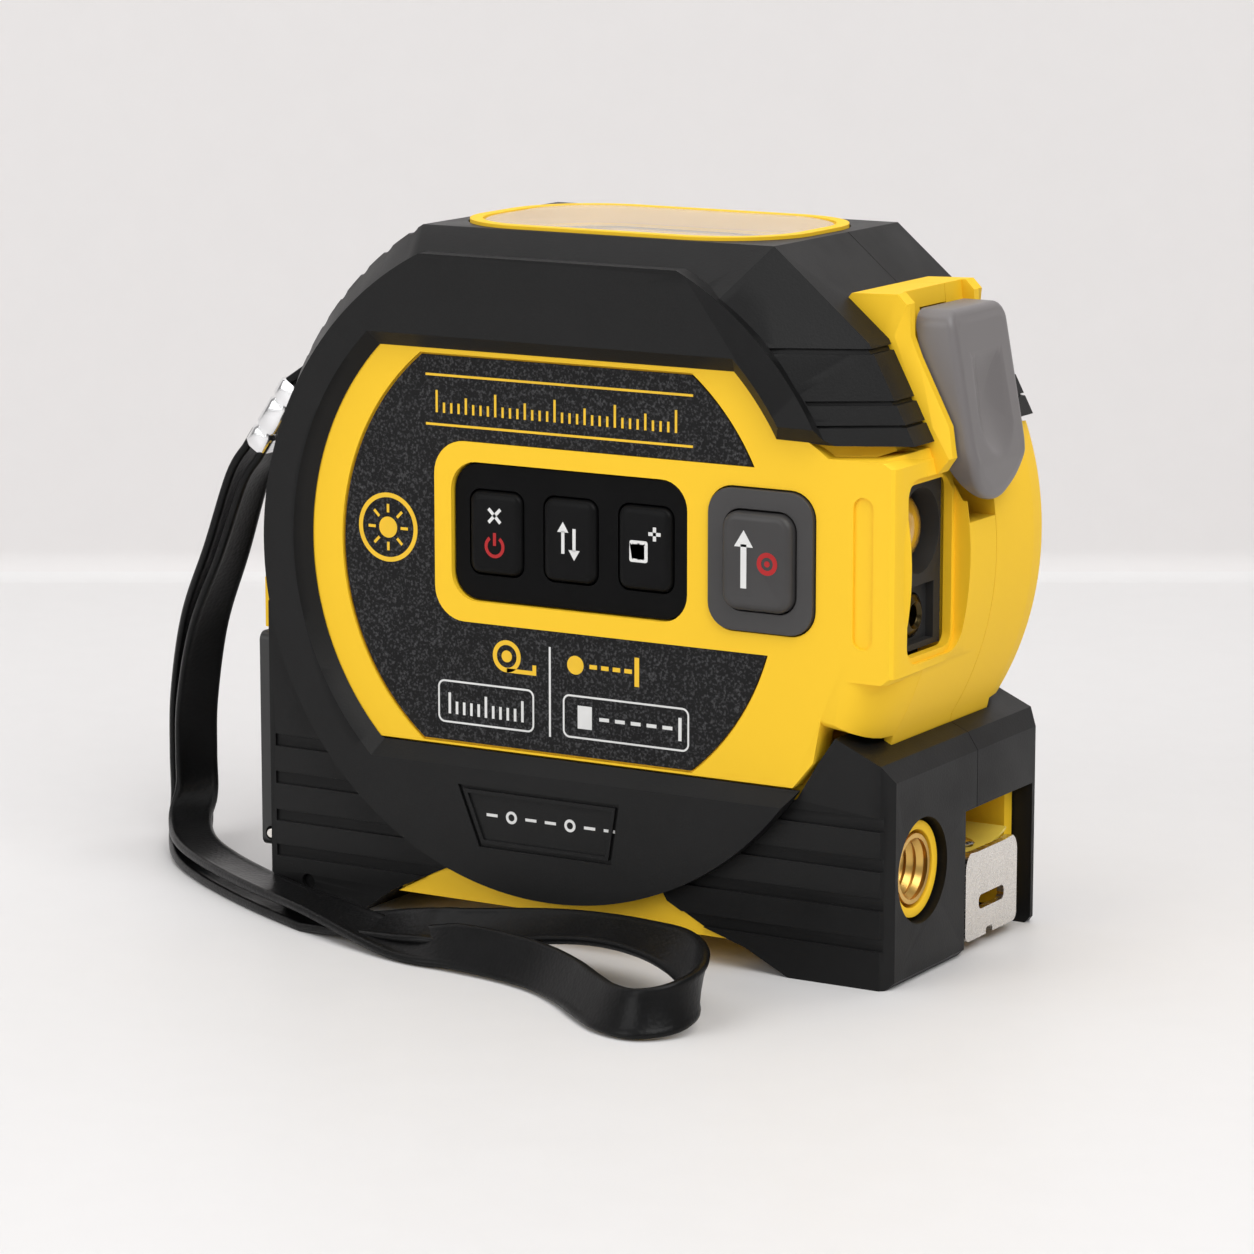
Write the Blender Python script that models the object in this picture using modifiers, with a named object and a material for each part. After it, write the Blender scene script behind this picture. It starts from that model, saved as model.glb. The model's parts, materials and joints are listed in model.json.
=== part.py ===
"""Laser distance meter with a pull-out steel tape.

A hand-sized case in two halves: the left half (-Y) holds the electronics and the optics, the right
half (+Y) holds the sprung tape reel. +X is the way the tape pulls out and the laser points, +Z is up,
and the origin is the middle of the case's footprint on the surface it stands on.

Outlines are written as (x, z) points measured from the axis of the round side discs.
"""

import math

import bmesh
import bpy
from mathutils import Matrix

MM = 0.001
GAP = 0.3 * MM

# Overall sizes
DISC_HEIGHT = 45.4 * MM
HALF_WIDTH = 21.45 * MM
SEAM_Y = 2.5 * MM
NOSE_X = 43.5 * MM
LOCK_REACH = NOSE_X + 4.1 * MM
DOOR_REACH = 42.5 * MM
AXIS_X = (DOOR_REACH - LOCK_REACH) / 2
AXIS_Z = DISC_HEIGHT

# Side discs and panels
DISC_RADIUS = 39.3 * MM
DISC_DROP = 0.8 * MM
DISC_FLAT = 34.6 * MM
PANEL_RADIUS = 33.2 * MM
PANEL_CUT = 23.4 * MM
PANEL_HALF = HALF_WIDTH - 1.8 * MM
RING_BEVEL = 2.0 * MM
RING_END = 15.6 * MM
RIM_DEPTH = 0.9 * MM
LABEL_RADIUS = 29.0 * MM
LABEL_CUT = 22.3 * MM
LABEL_THICK = 0.3 * MM
STRIP_LOW = -8.3 * MM
STRIP_HIGH = 12.9 * MM
STRIP_REAR = -16.3 * MM
STRIP_CORNER = 4.0 * MM

# Case walls
SKIN = 2.2 * MM
FOOT_HALF = HALF_WIDTH - 2.3 * MM
CORE_HALF = FOOT_HALF - 2.3 * MM
CROWN_TOP = 37.2 * MM
CROWN_HALF = HALF_WIDTH - 6.45 * MM
REAR_RADIUS = 42.5 * MM
FRONT_RADIUS = 38.0 * MM
FRONT_CENTRE_X = NOSE_X - 36.0 * MM
FRONT_CENTRE_Z = 2.0 * MM
BELLY = 42.0 * MM
BELLY_HALF = FOOT_HALF - 0.5 * MM
CAVITY_RADIUS = 34.0 * MM
CAVITY_HALF = PANEL_HALF - 2.1 * MM
LOW_CAVITY_HALF = CORE_HALF - 2.0 * MM
TAIL_X = 40.4 * MM
REAR_WALL = 38.0 * MM

# Keys
PAD_REAR = -13.8 * MM
PAD_FRONT = 17.4 * MM
PAD_LOW = -5.6 * MM
PAD_HIGH = 10.4 * MM
PAD_CORNER = 3.2 * MM
PAD_SINK = 0.6 * MM
KEY_WIDTH = 7.0 * MM
KEY_HEIGHT = 9.7 * MM
KEY_PITCH = 10.0 * MM
KEY_FIRST_X = -8.1 * MM
KEY_RISE = 0.7 * MM
KEY_STROKE = 0.8 * MM
KEY_CORNER = 1.3 * MM
MEASURE_X = 27.2 * MM
KEYS_Z = 2.4 * MM
PLATE_WIDTH = 13.4 * MM
PLATE_HEIGHT = 16.2 * MM
PLATE_CORNER = 3.0 * MM
PLATE_RISE = 0.5 * MM
MEASURE_WIDTH = 8.8 * MM
MEASURE_HEIGHT = 11.1 * MM
MEASURE_RISE = 1.6 * MM
BOARD_FACE = PANEL_HALF - 5.2 * MM
BOARD_THICK = 1.6 * MM
SWITCH_RISE = 0.6 * MM

# Display
BEZEL_REAR = -19.6 * MM
BEZEL_FRONT = 24.4 * MM
BEZEL_HALF = 14.2 * MM
BEZEL_CORNER = 11.0 * MM
BEZEL_RIM = 1.5 * MM
DOME = 0.7 * MM
SCREEN_HALF = 11.5 * MM

# Optics
SLOT_Y = -10.35 * MM
SLOT_HALF = 5.5 * MM
SLOT_LOW = -7.9 * MM
SLOT_HIGH = 11.6 * MM
BOSS_X = NOSE_X + 0.5 * MM
BOSS_LOW = -10.3 * MM
BOSS_HIGH = 14.4 * MM
LENS_RADIUS = 4.4 * MM
LENS_Z = 5.8 * MM
BEAM_Z = -3.9 * MM
BEAM_RADIUS = 2.4 * MM

# Tape
BLADE_Y = 7.0 * MM
BLADE_WIDTH = 12.7 * MM
BLADE_THICK = 0.3 * MM
BLADE_CROWN = 1.3 * MM
BLADE_Z = -34.4 * MM
REEL_X = -2.0 * MM
COIL_RADIUS = 25.0 * MM
HUB_RADIUS = 16.0 * MM
HUB_WALL = 1.6 * MM
AXLE_RADIUS = 3.0 * MM
AXLE_TIP_Y = 17.65 * MM
MOUTH_LOW_Y = -0.35 * MM
MOUTH_TOP = -28.3 * MM
HOOK_X = NOSE_X - 1.1 * MM
HOOK_THICK = 0.9 * MM
HOOK_WIDTH = 13.4 * MM
HOOK_LOW = -44.1 * MM
HOOK_SLOT = (6.5 * MM, 1.7 * MM)
HOOK_PLAY = 0.9 * MM
RIVET_RADIUS = 1.0 * MM
RIVET_SPOTS = (HOOK_X - 7.6 * MM, HOOK_X - 3.0 * MM)

# Thumb lock
LOCK_Y = -0.65 * MM
LOCK_HALF = 7.0 * MM
LOCK_NECK_HALF = 3.0 * MM
FRAME_WALL = 2.0 * MM

# Threaded insert
INSERT_Y = -11.1 * MM
INSERT_Z = -32.9 * MM
INSERT_BORE = 3.175 * MM
INSERT_RADIUS = 4.1 * MM
INSERT_LENGTH = 9.0 * MM
COLLAR_RADIUS = 5.6 * MM
INSERT_HOLE = 6.1 * MM

# Batteries
CELL_RADIUS = 5.25 * MM
CELL_LENGTH = 44.5 * MM
CELL_Y = -8.6 * MM
CELL_REAR = -35.6 * MM
CELL_LOW_Z = -32.2 * MM
CELL_PITCH = 11.0 * MM
DOOR_LOW = -39.0 * MM
DOOR_HIGH = -12.7 * MM
DOOR_NEAR = -FOOT_HALF + 1.1 * MM
DOOR_FAR = -1.2 * MM
DOOR_THICK = 1.4 * MM
DOOR_HINGE_X = -DOOR_REACH + 1.4 * MM
DOOR_HINGE_Z = DOOR_LOW + 1.6 * MM
HINGE_PIN = 0.6 * MM

# Screws
SCREW_RADIUS = 1.25 * MM
SCREW_HEAD = 2.3 * MM
SCREW_SPOTS = ((-27.0 * MM, 26.5 * MM), (26.6 * MM, 26.5 * MM), (-34.6 * MM, -39.6 * MM),
               (27.4 * MM, -39.2 * MM))

# Wrist strap
STRAP_WIDTH = 5.5 * MM
STRAP_THICK = 2.6 * MM
STRAP_Y = -3.0 * MM
STRAP_PIN = 0.9 * MM
STRAP_PIN_X = -38.9 * MM
STRAP_PIN_Z = 19.0 * MM
CRIMP_START = (-45.9 * MM, 15.6 * MM)
CRIMP_END = (-51.7 * MM, 7.2 * MM)
STRAP_ROUTE = ((-58.6, -1.9, -6.4), (-63.6, 0.1, -16.1), (-67.0, 1.9, -27.5), (-67.9, 2.7, -36.5),
               (-66.6, -0.4, -42.3), (-61.5, -7.6, -42.4), (-55.5, -13.9, -42.4), (-48.5, -19.5, -42.4),
               (-37.0, -25.4, -42.4), (-23.5, -30.0, -42.4),
               (-11.1, -31.4, -42.4), (0.0, -31.4, -42.4), (8.6, -33.2, -42.4), (15.5, -38.7, -42.4),
               (20.4, -44.4, -42.4), (25.0, -48.0, -42.4), (30.4, -46.4, -42.4), (30.6, -40.4, -42.4),
               (25.6, -34.6, -42.4), (20.4, -29.6, -42.4))


def clear_scene():
    for obj in list(bpy.data.objects):
        bpy.data.objects.remove(obj, do_unlink=True)


def new_collection(name):
    collection = bpy.data.collections.new(name)
    bpy.context.scene.collection.children.link(collection)
    return collection


def make_material(name, colour, roughness, metallic=0.0, alpha=1.0):
    material = bpy.data.materials.new(name)
    material.use_nodes = True
    shader = material.node_tree.nodes["Principled BSDF"]
    shader.inputs["Base Color"].default_value = (*colour, 1.0)
    shader.inputs["Roughness"].default_value = roughness
    shader.inputs["Metallic"].default_value = metallic
    shader.inputs["Alpha"].default_value = alpha
    return material


# Outlines

def arc(x, z, radius, start, end, count):
    """Points along an arc, in degrees anticlockwise from +X."""
    angles = [math.radians(start + (end - start) * i / (count - 1)) for i in range(count)]
    return [(x + radius * math.cos(a), z + radius * math.sin(a)) for a in angles]


def rounded_box(x0, x1, z0, z1, radius, count=5):
    corners = ((x1 - radius, z1 - radius, 0), (x0 + radius, z1 - radius, 90),
               (x0 + radius, z0 + radius, 180), (x1 - radius, z0 + radius, 270))
    return [p for x, z, start in corners for p in arc(x, z, radius, start, start + 90, count)]


def area(points):
    pairs = zip(points, points[1:] + points[:1])
    return sum(a[0] * b[1] - b[0] * a[1] for a, b in pairs) / 2


def grown(points, distance):
    """The outline moved outward by a distance, with mitred corners."""
    if area(points) < 0:
        points = points[::-1]
    moved = []
    for before, here, after in zip(points[-1:] + points[:-1], points, points[1:] + points[:1]):
        ax, az = here[0] - before[0], here[1] - before[1]
        bx, bz = after[0] - here[0], after[1] - here[1]
        la, lb = math.hypot(ax, az), math.hypot(bx, bz)
        nx, nz = az / la + bz / lb, -ax / la - bx / lb
        scale = distance / max(1e-9, (nx * az / la - nz * ax / la))
        moved.append((here[0] + nx * scale, here[1] + nz * scale))
    return moved


def clipped_disc(radius, low, high, count, x=0.0, z=0.0):
    """A disc cut flat at the heights low and high, as points anticlockwise from its right side."""
    top = math.degrees(math.asin((high - z) / radius))
    bottom = math.degrees(math.asin(max(-1.0, (low - z) / radius)))
    right = arc(x, z, radius, bottom, top, count)
    left = arc(x, z, radius, 180 - top, 180 - bottom, count)
    return right + left


# Solids

def finish(obj, material, collection):
    collection.objects.link(obj)
    if material:
        obj.data.materials.clear()
        obj.data.materials.append(material)
    return obj


def from_mesh(name, bm, matrix):
    bmesh.ops.recalc_face_normals(bm, faces=bm.faces)
    mesh = bpy.data.meshes.new(name)
    bm.to_mesh(mesh)
    bm.free()
    obj = bpy.data.objects.new(name, mesh)
    obj.matrix_world = matrix
    return obj


PLANES = {
    "XZ": Matrix(((1, 0, 0, 0), (0, 0, -1, 0), (0, 1, 0, 0), (0, 0, 0, 1))),
    "YZ": Matrix(((0, 0, 1, 0), (1, 0, 0, 0), (0, 1, 0, 0), (0, 0, 0, 1))),
    "XY": Matrix.Identity(4),
}
NORMALS = {"XZ": (0, 1, 0), "YZ": (1, 0, 0), "XY": (0, 0, 1)}


def plate(name, loops, low, high, plane="XZ"):
    """A flat outline, with any holes as further loops, made solid from low to high across its plane."""
    curve = bpy.data.curves.new(name, "CURVE")
    curve.dimensions = "2D"
    curve.fill_mode = "BOTH"
    curve.extrude = abs(high - low) / 2
    for loop in loops if isinstance(loops[0][0], tuple) else [loops]:
        spline = curve.splines.new("POLY")
        spline.points.add(len(loop) - 1)
        for point, (u, v) in zip(spline.points, loop):
            point.co = (u, v, 0, 1)
        spline.use_cyclic_u = True
    guide = bpy.data.objects.new(name, curve)
    bpy.context.scene.collection.objects.link(guide)
    middle = [n * (low + high) / 2 for n in NORMALS[plane]]
    place = Matrix.Translation((AXIS_X + middle[0], middle[1], AXIS_Z + middle[2])) @ PLANES[plane]
    guide.matrix_world = place
    graph = bpy.context.evaluated_depsgraph_get()
    mesh = bpy.data.meshes.new_from_object(guide.evaluated_get(graph))
    bm = bmesh.new()
    bm.from_mesh(mesh)
    bmesh.ops.remove_doubles(bm, verts=bm.verts, dist=1e-7)
    bpy.data.meshes.remove(mesh)
    bpy.data.objects.remove(guide)
    bpy.data.curves.remove(curve)
    return from_mesh(name, bm, place)


def loft(name, sections):
    """A solid through outlines of equal point count, each given as (y, points)."""
    bm = bmesh.new()
    rings = [[bm.verts.new((x, y, z)) for x, z in points] for y, points in sections]
    for first, second in zip(rings, rings[1:]):
        for i in range(len(first)):
            j = (i + 1) % len(first)
            bm.faces.new((first[i], first[j], second[j], second[i]))
    bm.faces.new(rings[0])
    bm.faces.new(rings[-1])
    return from_mesh(name, bm, Matrix.Translation((AXIS_X, 0, AXIS_Z)))


def block(name, x0, x1, y0, y1, z0, z1):
    bm = bmesh.new()
    bmesh.ops.create_cube(bm, size=1.0)
    bmesh.ops.scale(bm, vec=(abs(x1 - x0), abs(y1 - y0), abs(z1 - z0)), verts=bm.verts)
    return from_mesh(name, bm, Matrix.Translation((AXIS_X + (x0 + x1) / 2, (y0 + y1) / 2,
                                                   AXIS_Z + (z0 + z1) / 2)))


def rod(name, radius, start, length, axis="Y", sides=24, tip=None):
    """A cylinder, or a cone ending in radius tip, from a start point along +X, +Y or +Z."""
    bm = bmesh.new()
    bmesh.ops.create_cone(bm, cap_ends=True, segments=sides, radius1=radius,
                          radius2=radius if tip is None else tip, depth=length)
    bmesh.ops.translate(bm, vec=(0, 0, length / 2), verts=bm.verts)
    turn = {"X": Matrix.Rotation(math.pi / 2, 4, "Y"), "Y": Matrix.Rotation(-math.pi / 2, 4, "X"),
            "Z": Matrix.Identity(4)}[axis]
    x, y, z = start
    return from_mesh(name, bm, Matrix.Translation((AXIS_X + x, y, AXIS_Z + z)) @ turn)


def turned(name, profile, start, axis="Y", steps=32):
    """A profile of (radius, height) points, top to bottom, spun about an axis through start."""
    mesh = bpy.data.meshes.new(name)
    mesh.from_pydata([(r, 0, h) for r, h in profile], [(i, i + 1) for i in range(len(profile) - 1)], [])
    obj = bpy.data.objects.new(name, mesh)
    screw = obj.modifiers.new("spin", "SCREW")
    screw.steps = steps
    screw.render_steps = steps
    screw.use_merge_vertices = True
    screw.merge_threshold = 1e-6
    turn = {"X": Matrix.Rotation(math.pi / 2, 4, "Y"), "Y": Matrix.Rotation(-math.pi / 2, 4, "X"),
            "Z": Matrix.Identity(4)}[axis]
    x, y, z = start
    obj.matrix_world = Matrix.Translation((AXIS_X + x, y, AXIS_Z + z)) @ turn
    return obj


def boolean(obj, operation, others, cutters):
    for other in others:
        if other.name not in cutters.objects:
            cutters.objects.link(other)
        other.hide_render = True
        other.display_type = "WIRE"
        step = obj.modifiers.new(f"{operation.lower()} {other.name}", "BOOLEAN")
        step.operation = operation
        step.solver = "EXACT"
        step.object = other
    return obj


def settle(obj, cutters):
    """Replaces an object's modifiers by their result, so that it can be copied or used as a cutter."""
    if obj.name not in cutters.objects:
        cutters.objects.link(obj)
    bpy.context.view_layer.update()
    graph = bpy.context.evaluated_depsgraph_get()
    mesh = bpy.data.meshes.new_from_object(obj.evaluated_get(graph))
    obj.modifiers.clear()
    obj.data = mesh
    cutters.objects.unlink(obj)
    return obj


def smooth(obj, angle=35):
    obj.data.shade_smooth()
    obj.data.set_sharp_from_angle(angle=math.radians(angle))
    return obj


# The case's forms

def side_sign(side):
    return -1 if side == "left" else 1


def seam(side):
    """The y of a half's own edge at the seam, half a gap from the other half."""
    return SEAM_Y + side_sign(side) * GAP / 2


def nose(behind):
    """The x at a distance in millimetres behind the nose."""
    return NOSE_X - behind * MM


def front_arc(inset=0.0, count=11):
    return arc(FRONT_CENTRE_X, FRONT_CENTRE_Z, FRONT_RADIUS - inset, -31, 20, count)


def crown_outline(inset=0.0, count=9):
    """The upper case from the front shoulder over the top to the rear, closed by two points inside it."""
    radius = REAR_RADIUS - inset
    top = CROWN_TOP - inset
    shoulder = [(nose(-0.7) - inset * 1.1, 15.3 * MM), (nose(5.5) - inset * 0.8, 27.1 * MM - inset * 0.6),
                (26.0 * MM - inset * 0.4, top)]
    start = math.degrees(math.asin(top / radius))
    return shoulder + arc(0, 0, radius, 180 - start, 187, count) + [(-20 * MM, -8 * MM), (20 * MM, 8 * MM)]


def matched(outline, rays):
    """For each point of rays, the point of the outline in the same direction from the disc's axis."""
    found = []
    for x, z in rays:
        reach = math.hypot(x, z)
        c, s = x / reach, z / reach
        best = 0.0
        for a, b in zip(outline, outline[1:] + outline[:1]):
            dx, dz = b[0] - a[0], b[1] - a[1]
            across = s * dx - c * dz
            if abs(across) < 1e-12:
                continue
            share = (c * a[1] - s * a[0]) / across
            if -1e-6 <= share <= 1 + 1e-6:
                best = max(best, (a[0] + share * dx) * c + (a[1] + share * dz) * s)
        found.append((best * c, best * s))
    return found


def disc_outline(inset=0.0):
    return clipped_disc(DISC_RADIUS - inset, -DISC_RADIUS - DISC_DROP + inset + 0.01 * MM, DISC_FLAT - inset,
                        20,
                        0, -DISC_DROP)


def crown_form(name, side, inset, grow):
    """The upper case: constant over the display, then sloping out to the rim of the side disc."""
    sign = side_sign(side)
    outline = grown(crown_outline(inset), grow)
    rim = matched(grown(disc_outline(inset + 0.1 * MM), grow), outline[:-2]) + outline[-2:]
    edge = seam(side) - sign * (8 * MM if grow else 0)
    return loft(name, [(edge, outline), (sign * (CROWN_HALF - inset * 0.2 + grow), outline),
                       (sign * (HALF_WIDTH - RIM_DEPTH - inset * 0.6 + grow), rim)])


def core_outline():
    """The middle of the case, under the grips and the feet."""
    start = math.degrees(math.asin((CROWN_TOP - SKIN - GAP) / (REAR_RADIUS - SKIN - GAP)))
    rear = arc(0, 0, REAR_RADIUS - SKIN - GAP, 180 - start, 188, 9)
    return (front_arc() + [(nose(2.3), RING_END - GAP)] + crown_outline(SKIN + GAP)[1:3] + rear
            + low_core_outline()[:-4] + [(nose(4.2), -21.2 * MM)])


def low_core_outline():
    """The part of the core that lies inside the feet."""
    front = NOSE_X - SKIN - GAP
    return [(-REAR_WALL, -8.0 * MM), (-REAR_WALL, -41.2 * MM), (-36.2 * MM, -43.0 * MM),
            (-27.0 * MM, -43.0 * MM),
            (-25.0 * MM, -BELLY), (26.5 * MM, -BELLY), (29.0 * MM, -43.0 * MM), (front, -43.0 * MM),
            (front, -23.4 * MM), (nose(4.2), -21.2 * MM), (28 * MM, -21.2 * MM), (20 * MM, -14 * MM),
            (-20 * MM, -10 * MM)]


def belly_outline():
    return [(-22.4 * MM, -BELLY), (24.2 * MM, -BELLY), (14.4 * MM, -38.0 * MM), (11.0 * MM, -33.0 * MM),
            (-10.5 * MM, -33.0 * MM), (-13.6 * MM, -37.2 * MM)]


def panel_outline():
    """The yellow side face: a disc behind the ring, running forward to the front of the case."""
    disc = clipped_disc(PANEL_RADIUS + 2.6 * MM, -PANEL_CUT + 0.4 * MM, 31.6 * MM, 16)
    return front_arc(6.0 * MM) + [(nose(8.9), RING_END - GAP)] + [
        p for p in disc if p[0] < 0 or p[1] > RING_END + 1 * MM] + [
        (nose(12.2), -PANEL_CUT + 0.4 * MM), (nose(9.6), -20.0 * MM)]


def front_foot_outline():
    return [(NOSE_X - 0.8 * MM, -DISC_HEIGHT), (NOSE_X, -DISC_HEIGHT + 0.8 * MM), (NOSE_X, -21.6 * MM),
            (nose(1.3), -19.6 * MM), (nose(7.1), -17.0 * MM), (nose(9.3), -20.2 * MM), (nose(11.9),
                                                                                        -24.5 * MM),
            (26.0 * MM, -27.0 * MM), (13.0 * MM, -35.5 * MM), (14.7 * MM, -38.4 * MM), (25.0 * MM,
                                                                                        -42.6 * MM),
            (30.6 * MM, -DISC_HEIGHT)]


def rear_foot_outline():
    return [(-TAIL_X, -8.5 * MM), (-TAIL_X, -41.8 * MM), (-37.4 * MM, -DISC_HEIGHT),
            (-28.0 * MM, -DISC_HEIGHT),
            (-24.6 * MM, -43.0 * MM), (-22.8 * MM, -41.8 * MM), (-13.9 * MM, -37.6 * MM), (-12.0 * MM,
                                                                                           -35.0 * MM),
            (-26.0 * MM, -26.0 * MM), (-33.0 * MM, -18.0 * MM), (-36.4 * MM, -8.5 * MM)]


def frame_outline():
    """The raised yellow frame round the thumb lock, seen from the side."""
    return [(nose(-0.5), 12.0 * MM), (nose(-2.1), 14.0 * MM), (nose(-1.6), 17.5 * MM), (nose(3.4), 27.1 * MM),
            (nose(3.5), 31.2 * MM), (nose(4.7), 32.2 * MM), (nose(10.5), 31.8 * MM), (nose(13.5), 26.0 * MM),
            (nose(7.5), 12.0 * MM)]


def lock_pocket():
    """The space that the thumb lock slides in, seen from the side."""
    return [(70 * MM, 7.6 * MM), (70 * MM, 50 * MM), (nose(7.3), 50 * MM), (nose(5), 30.5 * MM),
            (nose(3.6), 21.6 * MM), (nose(0.3), 10.4 * MM), (nose(-1.5), 7.6 * MM)]


def case_form(side, grow, cutters):
    """The outer form of one half of the yellow case, or grown by a gap for the pieces that fit over it."""
    sign = side_sign(side)
    edge = seam(side) - sign * (8 * MM if grow else 0)
    name = f"{side}_case{'_grown' if grow else '_form'}"
    inside = sign * 8 * MM
    corner_back = [(20 * MM, 12 * MM), (20 * MM, -14 * MM)]
    corner = [(sign * 7 * MM, 0), (sign * 13.4 * MM, 0), (sign * (16.4 * MM + grow), 1.0 * MM),
              (sign * (18.4 * MM + grow), 2.8 * MM), (sign * (PANEL_HALF + grow), 5.2 * MM)]
    pieces = [
        plate(name, grown(core_outline(), grow), edge, sign * (13.5 * MM + grow)),
        crown_form(name + "_crown", side, SKIN + GAP, grow),
        plate(name + "_low", grown(low_core_outline(), grow), inside, sign * (CORE_HALF + grow)),
        plate(name + "_panel", grown(panel_outline(), grow), inside, sign * (PANEL_HALF + grow)),
        plate(name + "_belly", grown(belly_outline(), grow), inside, sign * (BELLY_HALF + grow)),
        loft(name + "_corner", [(y, grown(front_arc(inset) + corner_back, grow)) for y, inset in corner]),
        plate(name + "_frame", grown(frame_outline(), grow), edge,
              LOCK_Y + sign * (LOCK_HALF + 0.4 * MM + FRAME_WALL + grow)),
    ]
    if side == "left":
        boss = rounded_box(30 * MM, BOSS_X, BOSS_LOW, BOSS_HIGH, 1.0 * MM, 3)
        pieces.append(plate(name + "_boss", grown(boss, grow), SLOT_Y + SLOT_HALF + 1.5 * MM,
                            -PANEL_HALF - grow))
        catch = [(-42.3 * MM, -12.4 * MM), (-38.5 * MM, -12.4 * MM), (-38.5 * MM, -5.4 * MM),
                 (-42.3 * MM, -5.4 * MM)]
        pieces.append(plate(name + "_catch", grown(catch, grow), DOOR_FAR, DOOR_NEAR + 1 * MM))
    return settle(boolean(pieces[0], "UNION", pieces[1:], cutters), cutters)


def label_outline(strip):
    """The side label: a disc cut flat above and below, with the button strip's notch where there is one."""
    disc = clipped_disc(LABEL_RADIUS, -LABEL_CUT, LABEL_CUT, 17)
    if not strip:
        return disc
    high = math.degrees(math.asin(STRIP_HIGH / LABEL_RADIUS))
    low = math.degrees(math.asin(STRIP_LOW / LABEL_RADIUS))
    cut = math.degrees(math.asin(LABEL_CUT / LABEL_RADIUS))
    notch = (arc(STRIP_REAR + STRIP_CORNER, STRIP_LOW + STRIP_CORNER, STRIP_CORNER, 270, 180, 5)
             + arc(STRIP_REAR + STRIP_CORNER, STRIP_HIGH - STRIP_CORNER, STRIP_CORNER, 180, 90, 5))
    return (arc(0, 0, LABEL_RADIUS, high, cut, 6) + arc(0, 0, LABEL_RADIUS, 180 - cut, 180 + cut, 17)
            + arc(0, 0, LABEL_RADIUS, 360 - cut, 360 + low, 7) + notch)


def centred_box(x, z, width, height, radius, count=4):
    return rounded_box(x - width / 2, x + width / 2, z - height / 2, z + height / 2, radius, count)


def key_x(index):
    return KEY_FIRST_X + index * KEY_PITCH


def build_housing(side, cutters):
    sign = side_sign(side)
    form = case_form(side, 0, cutters)
    form.name = f"housing_{side}"
    edge = seam(side) - sign * 2 * MM
    low = [(-35.6 * MM, -14 * MM), (-35.6 * MM, -36.2 * MM), (-31.5 * MM, -36.2 * MM),
           (-31.5 * MM, -39.8 * MM),
           (23.6 * MM, -39.8 * MM), (23.6 * MM, -36.0 * MM), (31.0 * MM, -36.0 * MM)]
    nose_room = ([(31 * MM, -16 * MM)] if side == "left" else
            [(31 * MM, -40.4 * MM), (nose(4.9), -40.4 * MM), (nose(4.9), -18 * MM)])
    cuts = [
        plate("cavity", clipped_disc(CAVITY_RADIUS, -21.5 * MM, 29.0 * MM, 12), edge, sign * CAVITY_HALF),
        plate("low_cavity", low + nose_room, edge, sign * LOW_CAVITY_HALF),
        block("blade_way", 30 * MM, nose(6.5), MOUTH_LOW_Y, 8 * MM, -36.0 * MM, MOUTH_TOP),
        block("front_bay", 14 * MM, nose(4.5), edge, sign * 15.9 * MM, -19.5 * MM, 12.2 * MM),
        block("display_well", BEZEL_REAR + 2.4 * MM, BEZEL_FRONT - 2.4 * MM, edge,
              sign * (BEZEL_HALF - 1.6 * MM), 27 * MM, 45 * MM),
        block("mouth", nose(7.5), 60 * MM, MOUTH_LOW_Y, CORE_HALF - 2.0 * MM, -60 * MM, MOUTH_TOP),
        plate("pocket", lock_pocket(), LOCK_Y - LOCK_HALF - 0.4 * MM, LOCK_Y + LOCK_HALF + 0.4 * MM),
        plate("label_seat", grown(label_outline(side == "left"), GAP),
              sign * (PANEL_HALF - LABEL_THICK - GAP),
              sign * 30 * MM),
    ]
    for index, (x, z) in enumerate(SCREW_SPOTS):
        if side == "right":
            cuts.append(rod(f"screw_way_{index}", SCREW_HEAD + GAP, (x, 9.7 * MM, z), 30 * MM, "Y", 16))
        cuts.append(rod(f"screw_hole_{index}_{side}", SCREW_RADIUS + GAP, (x, -10.5 * MM, z), 24 * MM, "Y",
                        12))
    if side == "left":
        cuts += left_openings()
    else:
        cuts.append(rod("axle_seat", AXLE_RADIUS + GAP, (REEL_X, 14.5 * MM, BLADE_Z + COIL_RADIUS + GAP),
                        3.6 * MM, "Y", 24))
    return boolean(form, "DIFFERENCE", cuts, cutters)


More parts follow.
